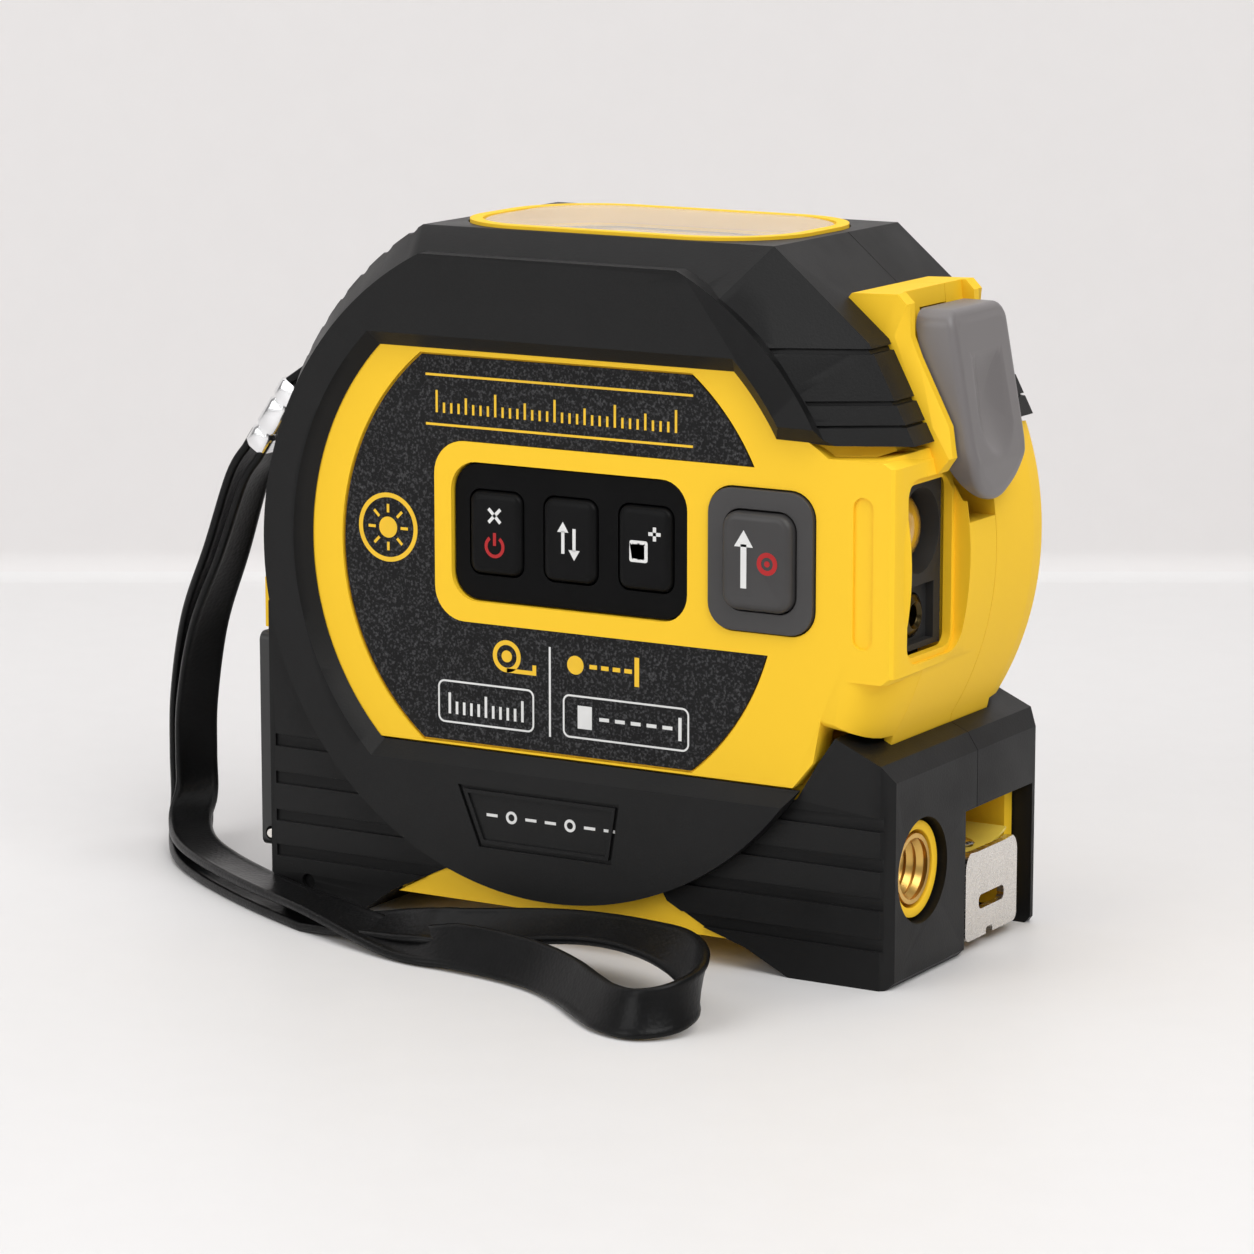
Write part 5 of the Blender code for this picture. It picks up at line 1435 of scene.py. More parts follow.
@dataclass
class Keypad:
    """The black mat with its three keys."""

    face: float = 19.05
    first: float = -8.1
    pitch: float = 10.0
    middle: float = 2.4
    width: float = 7.0
    height: float = 9.7
    rise: float = 0.55
    back: float = 15.9

    def build(self) -> None:
        """Builds the mat and the keys with their marks."""
        pad = rounded_box(-13.75, 17.35, -5.55, 10.35, 3.15, 12)
        mat = plate("key_mat", pad, -self.face, -16.9)
        flange = plate("flange", grown(pad, 1.1), -17.2, -16.7)
        combined(mat, "UNION", [flange])
        holes = [plate(f"hole_{i}", centred_box(self.x(i), self.middle, self.width + 0.45,
                                                self.height + 0.45, 1.5),
                       -30, 0) for i in range(3)]
        combined(mat, "DIFFERENCE", holes)
        softened(mat, 0.3, 3, 40)
        dress(mat, FINISH.pad, "case", "keypad_mat")
        for i in range(3):
            self.key(i)
        self.legends()

    def x(self, index: int) -> float:
        """The x of a key's middle."""
        return self.first + index * self.pitch

    def key(self, index: int) -> None:
        """Builds one key: a crowned cap on a wider lip.

        Args:
            index: Which key, from the rear.
        """
        top = -(self.face + self.rise)
        outline = centred_box(self.x(index), self.middle, self.width, self.height, 1.3)
        steps = [(self.back, 0.0), (self.face - 0.1, 0.0), (self.face + self.rise * 0.45, -0.12),
                 (self.face + self.rise * 0.85, -0.45), (self.face + self.rise, -0.95)]
        cap = loft(f"key_cap_{index + 1}", [(-y, grown(outline, d)) for y, d in steps])
        lip = plate("lip", centred_box(self.x(index), self.middle, self.width + 1.5, self.height + 1.5, 1.3),
                    -self.back - 0.4, -self.back)
        combined(cap, "UNION", [lip])
        shaded(cap, 50)
        dress(cap, FINISH.key, f"key_{index + 1}", f"key_{index + 1}")
        LOG.debug("key %d stands at %.2f", index + 1, top)

    def legends(self) -> None:
        """Prints a plain sign on each key: clear and power, swap, and a square with a plus."""
        y = -(self.face + self.rise)
        z = self.middle
        x = self.x(0)
        power = Marks("power_mark", y)
        power.ring(x, z - 1.5, 1.35, 0.95, 125, 415)
        power.line((x, z - 1.4), (x, z + 0.1), 0.4)
        power.printed(FINISH.red_ink, "key_1")
        clear = Marks("clear_mark", y)
        clear.line((x - 0.8, z + 1.3), (x + 0.8, z + 2.9), 0.4)
        clear.line((x - 0.8, z + 2.9), (x + 0.8, z + 1.3), 0.4)
        clear.printed(FINISH.white_ink, "key_1")
        x = self.x(1)
        swap = Marks("swap_mark", y)
        for dx, turn in ((-0.75, 1), (0.75, -1)):
            swap.line((x + dx, z - 1.5 * turn), (x + dx, z + 1.1 * turn), 0.42)
            swap.area([(x + dx - 0.75, z + 1.0 * turn), (x + dx + 0.75, z + 1.0 * turn),
                       (x + dx, z + 2.2 * turn)])
        swap.printed(FINISH.white_ink, "key_2")
        x = self.x(2)
        space = Marks("space_mark", y)
        space.frame(x - 1.9, x + 0.5, z - 1.6, z + 0.9, 0.3, 0.42)
        space.line((x + 0.6, z + 1.8), (x + 2.2, z + 1.8), 0.42)
        space.line((x + 1.4, z + 1.0), (x + 1.4, z + 2.6), 0.42)
        space.line((x - 0.7, z - 1.3), (x - 0.7, z + 0.6), 0.3)
        space.printed(FINISH.white_ink, "key_3")


@dataclass
class MeasureKey:
    """The large measuring button in its grey base."""

    x: float = 27.2
    z: float = 2.4
    base: float = 20.15
    top: float = 21.25
    back: float = 15.9

    def build(self) -> None:
        """Builds the base, the button and its mark."""
        rim = centred_box(self.x, self.z, 13.4, 16.2, 3.0)
        hole = centred_box(self.x, self.z, 9.3, 11.6, 2.2)
        base = plate("measure_base", [rim, hole], -self.base, -16.55)
        softened(base, 0.42, 3, 40)
        dress(base, FINISH.measure, "case", "measure_bezel")
        outline = centred_box(self.x, self.z, 8.9, 11.2, 1.9)
        steps = [(self.back, 0.0), (self.base + 0.35, 0.0), (self.base + 0.7, -0.12),
                 (self.base + 0.93, -0.35),
                 (self.top - 0.02, -0.72), (self.top - 0.0, -0.95), (self.top - 0.1, -1.6)]
        cap = loft("measure_cap", [(-y, grown(outline, d)) for y, d in steps])
        lip = plate("lip", centred_box(self.x, self.z, 10.4, 12.7, 2.0), -self.back - 0.35, -self.back)
        combined(cap, "UNION", [lip])
        shaded(cap, 50)
        dress(cap, FINISH.measure, "measure", "measure_button")
        mark = Marks("measure_mark", -(self.top - 0.1))
        mark.line((self.x - 1.5, self.z - 3.0), (self.x - 1.5, self.z + 2.0), 0.75)
        mark.area([(self.x - 2.7, self.z + 1.7), (self.x - 0.3, self.z + 1.7), (self.x - 1.5, self.z + 3.6)])
        mark.printed(FINISH.white_ink, "measure")
        dot = Marks("start_mark", -(self.top - 0.1))
        dot.ring(self.x + 1.5, self.z, 1.3, 0.75)
        dot.ring(self.x + 1.5, self.z, 0.35, 0)
        dot.printed(FINISH.red_ink, "measure")


# Display and optics


@dataclass
class Display:
    """The bezel, window and display on top."""

    form: CaseForm
    rear: float = -19.6
    front: float = 24.4
    half: float = 14.2
    corner: float = 11.0
    rim: float = 1.5
    dome: float = 0.7

    def build(self) -> None:
        """Builds the three pieces."""
        low = self.form.crown_top - self.form.skin
        outer = rounded_box(self.rear, self.front, -self.half, self.half, self.corner, 28)
        inner = grown(outer, -self.rim)
        bezel = plate("bezel_ring", [outer, inner], low, self.form.crown_top + self.dome * 0.55, Plane.XY)
        softened(bezel, 0.28, 3, 40)
        dress(bezel, FINISH.case, "case", "display_bezel")
        pane = grown(inner, -0.15)
        steps = [(low + 0.4, 0.0), (self.form.crown_top + 0.12, 0.0), (self.form.crown_top + 0.3, -0.35),
                 (self.form.crown_top + 0.48, -1.2), (self.form.crown_top + 0.6, -3.2),
                 (self.form.crown_top + self.dome, -6.5)]
        rings = [[(x, y, z) for x, y in grown(pane, d)] for z, d in steps]
        window = stacked("display_pane", rings)
        shaded(window, 60)
        dress(window, FINISH.window, "case", "display_window")
        panel = plate("display_screen", rounded_box(self.rear + 3.4, self.front - 3.4, -11.5, 11.5, 4.0, 10),
                      low - 2.6, low - 0.35, Plane.XY)
        border = plate("screen_step", rounded_box(-13.2, 18.0, -9.2, 9.2, 0.6, 4), low - 0.4, low - 0.2,
                       Plane.XY)
        softened(panel, 0.2, 2, 40)
        dress(panel, FINISH.screen, "case", "display_panel")
        dress(softened(border, 0.05, 1, 50), FINISH.well, "case")


@dataclass
class Optics:
    """The black optics frame in its slot, with the receiving lens and the laser's outlet."""

    y: float = -10.35
    lens_z: float = 5.8
    beam_z: float = -3.9
    lens_radius: float = 4.4
    front: float = 42.2

    def build(self) -> None:
        """Builds the frame, the lens and the laser."""
        frame_block = block("optics_carrier", 36.5, self.front, self.y - 5.2, self.y + 5.2, -7.6, 11.3)
        cuts = [rod("lens_hole", self.lens_radius + 0.15, (30, self.y, self.lens_z), 20, "X", 72),
                rod("lens_flare", self.lens_radius + 0.1, (40.4, self.y, self.lens_z), 2.4, "X", 72, 5.0),
                rod("beam_hole", 2.6, (30, self.y, self.beam_z), 20, "X", 48),
                block("beam_well", 41.2, 60, self.y - 3.6, self.y + 3.6, -6.9, -0.4)]
        combined(frame_block, "DIFFERENCE", cuts)
        softened(frame_block, 0.22, 2, 40)
        dress(frame_block, FINISH.optics, "case", "optics_frame")
        steps = [(self.lens_radius * math.cos(a), 38.0 + 3.0 * math.sin(a) + 0.6)
                 for a in (math.radians(90 - 7.5 * i) for i in range(13))]
        lens = turned("lens_glass", [(r, h - 37.4) for r, h in steps] + [(self.lens_radius, 0), (0, 0)],
                      (37.4, self.y, self.lens_z), "X", 72)
        dress(shaded(lens, 50), FINISH.lens, "case", "receiver_lens")
        tube = turned("laser_barrel", [(0, 8.2), (1.15, 8.2), (1.15, 9.2), (1.6, 9.6), (2.4, 9.2), (2.4, 0),
                                       (0, 0)],
                      (32.2, self.y, self.beam_z), "X", 48)
        dress(softened(tube, 0.1, 2, 40), FINISH.barrel, "case", "laser_tube")


# Lock, insert, tape


@dataclass
class ThumbLock:
    """The grey thumb lock with its brake arm.

    Attributes:
        middle: The y of its middle.
        half: Half its width.
        reach: The x of its foremost line.
        edge: Radius of its rounded front edge.
        dish: The thumb dish's height above the disc's axis, its half width, half height and depth.
    """

    middle: float = -0.65
    half: float = 7.0
    reach: float = 47.6
    edge: float = 1.0
    dish: tuple[float, float, float, float] = (19.9, 4.6, 6.4, 1.25)

    def build(self) -> None:
        """Builds the slider with its round foot and thumb dish, and the arm behind it."""
        slider = stacked("thumb_slider", self.rings())
        combined(slider, "UNION", [block("neck", 36.0, 43.4, -3.35, 2.05, 13.0, 19.0)])
        dress(shaded(slider, 50), FINISH.lock, "lock", "lock_slider")
        arm = block("brake_lever", 33.0, 35.7, -3.35, 2.05, -13, 19)
        combined(arm, "UNION", [block("step", 33.0, 35.7, -3.35, 9, -14, -9),
                                block("shoe", 33.0, 35.7, 5, 9, -33.4, -9.5)])
        dress(softened(arm, 0.4, 2, 40), FINISH.lock, "lock", "brake_arm")

    def front(self, z: float) -> float:
        """The x of the slider's front at a height."""
        return self.reach - max(0.0, z - 13.0) * 0.186 - max(0.0, 13.0 - z) * 0.11

    @staticmethod
    def rear(z: float) -> float:
        """The x of the slider's back at a height."""
        line = ((8.4, 46.1), (10.5, 45.0), (16.0, 42.4), (22.0, 40.6), (30.6, 39.9))
        for (z0, x0), (z1, x1) in zip(line, line[1:]):
            if z <= z1:
                return x0 + (x1 - x0) * max(0.0, z - z0) / (z1 - z0)
        return line[-1][1]

    def hollow(self, y: float, z: float) -> float:
        """The depth of the thumb dish at a point of the front."""
        height, wide, tall, depth = self.dish
        away = ((y - self.middle) / wide) ** 2 + ((z - height) / tall) ** 2
        return depth * (1 - away) if away < 1 else 0.0

    def rings(self) -> list[list[Point3]]:
        """The slider's outlines from its back to the bottom of the dish.

        Returns:
            Rings of points.
        """
        low, high, corner = 8.4 + self.half, 30.2, 2.0
        outline = (arc(self.middle, low, self.half, 180, 360, 40)
                   + arc(self.middle + self.half - corner, high - corner, corner, 0, 90, 8)
                   + arc(self.middle - self.half + corner, high - corner, corner, 90, 180, 8))
        rings = [[(self.rear(z), y, z) for y, z in outline]]
        for turn in range(0, 91, 15):
            a = math.radians(turn)
            ring = []
            for (y, z), (inner_y, inner_z) in zip(outline, grown(outline, -self.edge)):
                radius = min(self.edge, 0.7 * (self.front(z) - self.rear(z)))
                share = radius / self.edge * (1 - math.cos(a))
                ring.append((self.front(z) - radius * (1 - math.sin(a)), y + (inner_y - y) * share,
                             z + (inner_z - z) * share))
            rings.append(ring)
        rim = [(y, z) for _, y, z in rings[-1]]
        height = self.dish[0]
        for step in range(1, 25):
            share = 1 - step / 25
            ring = [(self.middle + (y - self.middle) * share, height + (z - height) * share) for y, z in rim]
            rings.append([(self.front(z) - self.hollow(y, z), y, z) for y, z in ring])
        return rings


@dataclass
class TripodInsert:
    """The brass threaded insert and its collar."""

    y: float = -11.1
    z: float = -32.9
    bore: float = 3.175
    outer: float = 4.05
    pitch: float = 1.27

    def build(self) -> None:
        """Builds the insert with its thread as ridges, and the collar round it."""
        length = 9.0
        ridges = []
        for i in range(int(length / self.pitch)):
            start = 0.1 + i * self.pitch
            ridges += [(self.bore, start), (self.bore + 0.55, start + self.pitch * 0.5)]
        inner = [(self.bore, 0.0)] + ridges[1:] + [(self.bore + 0.35, length)]
        profile = inner + [(self.outer, length), (self.outer, 0), (self.bore, 0)]
        shape = turned("threaded_insert", profile, (33.3, self.y, self.z), "X", 72)
        dress(shaded(shape, 25), FINISH.brass, "case", "tripod_insert")
        collar = turned("insert_ring", [(4.5, 1.9), (4.9, 2.0), (5.6, 2.0), (5.6, 0), (4.5, 0), (4.5, 1.9)],
                        (40.5, self.y, self.z), "X", 72)
        dress(softened(collar, 0.12, 2, 40), FINISH.case, "case", "insert_collar")


@dataclass
class TapeReel:
    """The tape, its reel and the end hook."""

    y: float = 7.0
    width: float = 12.7
    z: float = -34.4
    hook_x: float = 42.4
    rivets: tuple[float, float] = (34.8, 39.4)

    def build(self) -> None:
        """Builds the blade, its rivets and the hook, and dresses the reel inside."""
        shares = [-1 + 2 * i / 24 for i in range(25)]
        low = [(self.y + s * self.width / 2, self.z - 0.15 + 1.3 * s * s) for s in shares]
        section = low + [(y, z + 0.3) for y, z in reversed(low)]
        blade = plate("blade_strip", section, 8.0, 42.0, Plane.YZ)
        holes = [rod(f"hole_{i}", 1.3, (x, self.y, self.z - 3), 6, "Z", 32) for i,
                 x in enumerate(self.rivets)]
        combined(blade, "DIFFERENCE", holes)
        dress(shaded(blade, 40), FINISH.tape, "blade", "tape_blade")
        for i, x in enumerate(self.rivets):
            rivet = turned(f"rivet_{i + 1}", [(0, 1.05), (0.7, 0.98), (1.2, 0.78), (1.5, 0.5), (1.0, 0.5),
                                              (1.0, -2.0),
                                              (0, -2.0)], (x, self.y, self.z), "Z", 40)
            dress(shaded(rivet, 40), FINISH.steel, "blade", f"hook_rivet_{i + 1}")
        self.hook()
        for node, finish in (("tape_coil", FINISH.tape), ("tape_drum", FINISH.reel),
                             ("drum_axle", FINISH.steel),
                             ("power_spring", FINISH.spring)):
            kept(node, finish)

    def hook(self) -> None:
        """Builds the bent end hook with its slot, notch and rounded top corner."""
        near, far = self.y - 6.7, self.y + 6.7
        outline = (arc(near + 1.0, -43.1, 1.0, 180, 270, 8) + arc(far - 1.0, -43.1, 1.0, 270, 360, 8)
                   + arc(far - 2.2, -35.6, 2.2, 0, 62, 10) + [(self.y + 3.4, -33.8), (self.y - 3.4, -33.8)]
                   + arc(near + 2.2, -35.6, 2.2, 118, 180, 10))
        hook = plate("hook_plate", outline, self.hook_x, self.hook_x + 0.9, Plane.YZ)
        bend = stacked("bend", self.bend_rings())
        combined(hook, "UNION", [bend])
        cuts = [plate("slot", rounded_box(self.y - 3.3, self.y + 3.3, -40.8, -39.1, 0.7, 6), 30, 50,
                      Plane.YZ),
                plate("notch", rounded_box(self.y - 1.3, self.y + 0.4, -45.5, -43.3, 0.4, 5), 30, 50,
                      Plane.YZ)]
        cuts += [plate(f"tang_slot_{i}", rounded_box(x - 2.05, x + 1.15, self.y - 1.15, self.y + 1.15, 1.1,
                                                     8),
                       -40, -20, Plane.XY) for i, x in enumerate(self.rivets)]
        combined(hook, "DIFFERENCE", cuts)
        softened(hook, 0.14, 2, 35)
        dress(hook, FINISH.steel, "hook", "end_hook")

    def bend_rings(self) -> list[list[Point3]]:
        """The tang's rings, from under the tape round into the hook's face."""
        steps = [(32.0, -35.8, 0.0), (40.6, -35.8, 0.0), (41.5, -35.95, 20.0), (42.1, -36.4, 45.0),
                 (42.5, -37.1, 75.0)]
        rings = []
        for x, z, turn in steps:
            a = math.radians(turn)
            dx, dz = 0.8 * math.sin(a), 0.8 * math.cos(a)
            rings.append([(x, self.y - 3.6, z), (x, self.y + 3.6, z), (x + dx, self.y + 3.6, z + dz),
                          (x + dx, self.y - 3.6, z + dz)])
        return rings


# Battery bay and fasteners


@dataclass
class BatteryBay:
    """The battery door with its hinge, and the two cells behind it."""

    near: float = -18.05
    far: float = -1.2
    low: float = -39.0
    high: float = -12.7
    hinge: Point2 = (-41.1, -37.4)
    outside: float = -42.5
    cell_radius: float = 5.25
    cell_length: float = 44.5
    cell_y: float = -8.6
    cell_heights: tuple[float, float] = (-32.2, -21.2)

    def build(self) -> None:
        """Builds the door with its finger ribs, the hinge pin and the cells."""
        leaf = plate("battery_cover", rounded_box(self.near, self.far, self.low, self.high, 1.0, 6),
                     self.outside, self.hinge[0], Plane.YZ)
        knuckle = rod("knuckle", 1.4, (self.hinge[0], self.near + 1.5, self.hinge[1]),
                      self.far - self.near - 3.0, "Y", 40)
        combined(leaf, "UNION", [knuckle])
        ribs = [block(f"rib_{i}", self.outside - 1, self.outside + 0.3, self.near + 3.2, self.far - 3.2,
                      self.high - 3.0 - 1.7 * i, self.high - 2.2 - 1.7 * i) for i in range(4)]
        combined(leaf, "DIFFERENCE", [rod("pin_bore", 0.9, (self.hinge[0], -25, self.hinge[1]), 30, "Y", 24),
                                      *ribs])
        dress(softened(leaf, 0.25, 2, 30), FINISH.door, "door", "battery_door")
        pin = rod("hinge_pin", 0.6, (self.hinge[0], -18.35, self.hinge[1]), 17.45, "Y", 24)
        dress(softened(pin, 0.15, 2, 40), FINISH.steel, "case", "door_pin")
        for i, z in enumerate(self.cell_heights):
            self.cell(i + 1, z)
        kept("contact_plate", FINISH.spring)

    def cell(self, index: int, z: float) -> None:
        """Builds one cell: a sleeve with its shoulder, button and flat end.

        Args:
            index: 1 or 2.
            z: Height of its axis.
        """
        radius, length = self.cell_radius, self.cell_length
        profile = [(0, length), (1.9, length), (1.9, length - 1.0), (4.3, length - 1.0),
                   (radius, length - 1.6),
                   (radius, 0.4), (radius - 0.4, 0), (0, 0)]
        cell = turned(f"cell_{index}", profile, (-35.6, self.cell_y, z), "X", 48)
        dress(softened(cell, 0.12, 2, 40), FINISH.cell, "case", f"battery_cell_{index}")


def case_screws(form: CaseForm) -> None:
    """Builds the four screws with their cross recesses.

    Args:
        form: The case's outlines.
    """
    for i, (x, z) in enumerate(form.screws):
        seat = 12.0 if i < 2 else 11.0
        profile = [(0, 1.6), (1.4, 1.6), (2.3, 1.05), (2.3, 0), (1.25, 0), (1.25, -14.6), (0.5, -16),
                   (0, -16)]
        screw = turned(f"screw_{i + 1}", profile, (x, seat, z), "Y", 40)
        cross = [block("slot", x - 1.3, x + 1.3, seat + 0.7, seat + 3, z - 0.25, z + 0.25),
                 block("slot", x - 0.25, x + 0.25, seat + 0.7, seat + 3, z - 1.3, z + 1.3)]
        combined(screw, "DIFFERENCE", cross)
        dress(shaded(screw, 35), FINISH.steel, "case", f"case_screw_{i + 1}")


def inner_parts() -> None:
    """Gives the board and its switches their finishes."""
    kept("main_board", FINISH.board)
    for i in range(4):
        kept(f"switch_{i + 1}", FINISH.reel)
    kept("strap_pin", FINISH.steel)


# Wrist strap


@dataclass
class WristStrap:
    """The flat strap: one band that leaves the clip, runs out, turns in a loop and comes back beside itself.

    Attributes:
        width: Width of the band.
        thickness: Its thickness.
        apart: Distance between the two layers' middles.
        length: Its real length from the clip round and back to the clip; not used.
        y: The y of the clip.
        pin: Where the strap folds round its pin, in x and z.
        clip_start: The clip's upper end, in x and z.
        clip_end: The clip's lower end.
        doubled: The middle line of the two layers.
        loop: The line of the single band from where the layers part and back again: x, y, the lean of
            the band's width (0 lying flat, 90 standing on its edge) and how far it rises off the surface.
        floor: Height of the surface that the strap lies on.
        floor_turn: The direction of the band's width where it reaches that surface, in degrees from x.
    """

    width: float = 5.5
    thickness: float = 1.05
    apart: float = 2.2
    length: float = 0.33
    y: float = -3.0
    pin: Point2 = (-38.9, 19.0)
    clip_start: Point2 = (-45.9, 15.6)
    clip_end: Point2 = (-51.7, 7.2)
    floor: float = -45.4
    floor_turn: float = 55.0
    doubled: tuple[Point3, ...] = (
        (-58.6, -1.9, -6.4), (-63.6, 0.1, -16.1), (-66.8, 2.0, -26.5), (-67.9, 3.1, -34.2), (-67.2, 2.2,
                                                                                             -39.4),
        (-64.6, -2.4, -42.7), (-59.4, -8.6, -43.5), (-52.0, -14.4, -43.7), (-42.0, -20.6, -43.7),
        (-32.0, -25.8, -43.7), (-22.0, -30.2, -43.7))
    loop: tuple[tuple[float, float, float, float], ...] = (
        (-12.4, -33.5, 30, 0), (-4.0, -35.0, 58, 0), (3.5, -36.4, 66, 0), (9.5, -38.4, 66, 0), (15.0, -41.6,
                                                                                                60, 0),
        (19.8, -45.4, 56, 0), (24.2, -48.6, 58, 0), (28.4, -49.6, 66, 0), (31.6, -47.0, 78, 0.4),
        (32.0, -42.4, 94, 1.3), (29.2, -38.0, 116, 2.6), (24.6, -34.6, 140, 3.9), (19.0, -32.2, 156, 4.5),
        (12.8, -30.6, 158, 4.3), (6.4, -29.8, 152, 3.4), (0.4, -30.0, 146, 2.4), (-5.5, -31.0, 144, 1.7),
        (-11.0, -32.2, 148, 1.6))

    def build(self) -> None:
        clip = self.clip()
        fold = self.fold()
        centres, widths = self.course()
        band = self.band("wrist_band", centres, widths)
        dress(band, FINISH.strap, "case", "wrist_strap")
        path = [self.framed(p) for p in centres]
        reach = sum((b - a).length for a, b in zip(path, path[1:]))
        LOG.info("the strap's band runs %.1f mm", reach / MM)

    @staticmethod
    def framed(point: Vector) -> Vector:
        """Turns a point of the case's coordinates into the frame's metres."""
        return Vector((point.x + AXIS_X, point.y, point.z + AXIS_Z)) * MM

    def along(self) -> Vector:
        """The direction in which the strap leaves the clip."""
        return Vector((self.clip_end[0] - self.clip_start[0], 0,
                       self.clip_end[1] - self.clip_start[1])).normalized()

    def course(self) -> tuple[list[Vector], list[Vector]]:
        """The band's whole centre line and the direction of its width at each point.

        Returns:
            The points and the width directions, both in the case's coordinates.
        """
        along = self.along()
        mouth = Vector((self.clip_end[0], self.y, self.clip_end[1]))
        knots = [mouth - along * 2.0, mouth + along * 0.6,
                 mouth + along * 4.8] + [Vector(p) for p in self.doubled]
        middle = self.smoothed(knots, 8)
        across = Vector((math.cos(math.radians(self.floor_turn)), math.sin(math.radians(self.floor_turn)), 0))
        out, back, spans = [], [], []
        for i, point in enumerate(middle):
            ahead = (middle[min(i + 1, len(middle) - 1)] - middle[max(i - 1, 0)]).normalized()
            level = math.hypot(ahead.x, ahead.y)
            wanted = Vector((0, 1, 0)).lerp(across, eased((i / len(middle) - 0.12) / 0.3))
            floor_span = Vector((-ahead.y, ahead.x, 0)).normalized()
            wanted = wanted.lerp(floor_span, eased((level - 0.75) / 0.25) if i > len(middle) // 2 else 0.0)
            span = (wanted - ahead * wanted.dot(ahead)).normalized()
            upper = ahead.cross(span)
            out.append(point + upper * self.apart / 2)
            back.append(point - upper * self.apart / 2)
            spans.append(span)
        turn, turn_spans = self.turned_loop()
        join = 5
        first = self.smoothed([out[-1 - join], *turn, back[-1 - join]], 8)
        share = [i / (len(first) - 1) for i in range(len(first))]
        near = [spans[-1 - join], *turn_spans, spans[-1 - join]]
        loop_spans = [self.between(near, s) for s in share]
        points = out[:-1 - join] + first + back[:-1 - join][::-1]
        widths = spans[:-1 - join] + loop_spans + spans[:-1 - join][::-1]
        return points, self.steadied(widths)

    def turned_loop(self) -> tuple[list[Vector], list[Vector]]:
        """The loop's points and its width directions.

        Returns:
            The points and the directions, from the near branch round to the far one.
        """
        points, spans = [], []
        for x, y, lean, rise in self.loop:
            a = math.radians(lean)
            lift = (self.width * math.sin(a) + self.thickness * abs(math.cos(a))) / 2
            points.append(Vector((x, y, self.floor + lift + rise + 0.05)))
        for i, (_, _, lean, _) in enumerate(self.loop):
            ahead = points[min(i + 1, len(points) - 1)] - points[max(i - 1, 0)]
            side = Vector((0, 0, 1)).cross(ahead).normalized()
            a = math.radians(lean)
            spans.append((side * math.cos(a) + Vector((0, 0, 1)) * math.sin(a)).normalized())
        return points, spans

    @staticmethod
    def between(values: list[Vector], share: float) -> Vector:
        """Reads a list of directions at a share of its length."""
        place = share * (len(values) - 1)
        low = min(int(place), len(values) - 2)
        return values[low].lerp(values[low + 1], place - low).normalized()

    @staticmethod
    def steadied(spans: list[Vector]) -> list[Vector]:
        """Turns over any direction that points against the one before, then evens them out."""
        kept_spans = [spans[0]]
        for span in spans[1:]:
            kept_spans.append(span if span.dot(kept_spans[-1]) >= 0 else -span)
        even = []
        for i in range(len(kept_spans)):
            near = kept_spans[max(0, i - 3):i + 4]
            even.append(sum(near, Vector()).normalized())
        return even

    @staticmethod
    def smoothed(knots: list[Vector], steps: int) -> list[Vector]:
        """A smooth curve through points.

        Args:
            knots: The points.
            steps: Steps between two of them.

        Returns:
            The curve's points.
        """
        ends = [knots[0] * 2 - knots[1], *knots, knots[-1] * 2 - knots[-2]]
        curve = []
        for a, b, c, d in zip(ends, ends[1:], ends[2:], ends[3:]):
            for i in range(steps):
                t = i / steps
                curve.append((b * 2 + (c - a) * t + (a * 2 - b * 5 + c * 4 - d) * t * t
                              + (b * 3 - a - c * 3 + d) * t ** 3) / 2)
        return curve + [knots[-1]]

    def section(self) -> Outline:
        """The band's section: a strap with a raised edge along each side, across its width and thickness."""
        w, t = self.width / 2, self.thickness / 2
        quarter = [(w, t * 0.45), (w - 0.16, t * 0.9), (w - 0.5, t), (w - 0.8, t * 0.84), (w - 1.1, t * 0.72)]
        top = quarter + [(-x, z) for x, z in reversed(quarter)]
        return top + [(-x, -z) for x, z in top]

    def band(self, name: str, centres: list[Vector], spans: list[Vector]) -> bpy.types.Object:
        """Sweeps the band's section along a line.

        Args:
            name: The piece's name.
            centres: The line.
            spans: The width direction at each point.

        Returns:
            The band.
        """
        rings = []
        for i, (centre, span) in enumerate(zip(centres, spans)):
            ahead = (centres[min(i + 1, len(centres) - 1)] - centres[max(i - 1, 0)]).normalized()
            wide = (span - ahead * span.dot(ahead)).normalized()
            thick = ahead.cross(wide)
            rings.append([tuple(centre + wide * u + thick * v) for u, v in self.section()])
        return shaded(stacked(name, rings), 50)

    def fold(self) -> bpy.types.Object:
        """The short doubled end that runs from the clip round the pin.

        Returns:
            The piece.
        """
        radius = 1.55
        start = Vector((self.clip_start[0], self.y, self.clip_start[1])) + self.along() * 1.5
        pin = Vector((self.pin[0], self.y, self.pin[1]))
        ahead = (pin - start).normalized()
        side = Vector((-ahead.z, 0, ahead.x))
        points = [start + side * self.apart / 2 * s for s in (1.0,)]
        points += [pin - ahead * 2.6 + side * radius * 0.9]
        for i in range(13):
            a = math.radians(100 - 200 * i / 12)
            points.append(pin + side * radius * math.sin(a) + ahead * radius * math.cos(a))
        points += [pin - ahead * 2.6 - side * radius * 0.9, start - side * self.apart / 2]
        fold = self.band("strap_fold", points, [Vector((0, 1, 0))] * len(points))
        return dress(fold, FINISH.strap, "case", "strap_lead")

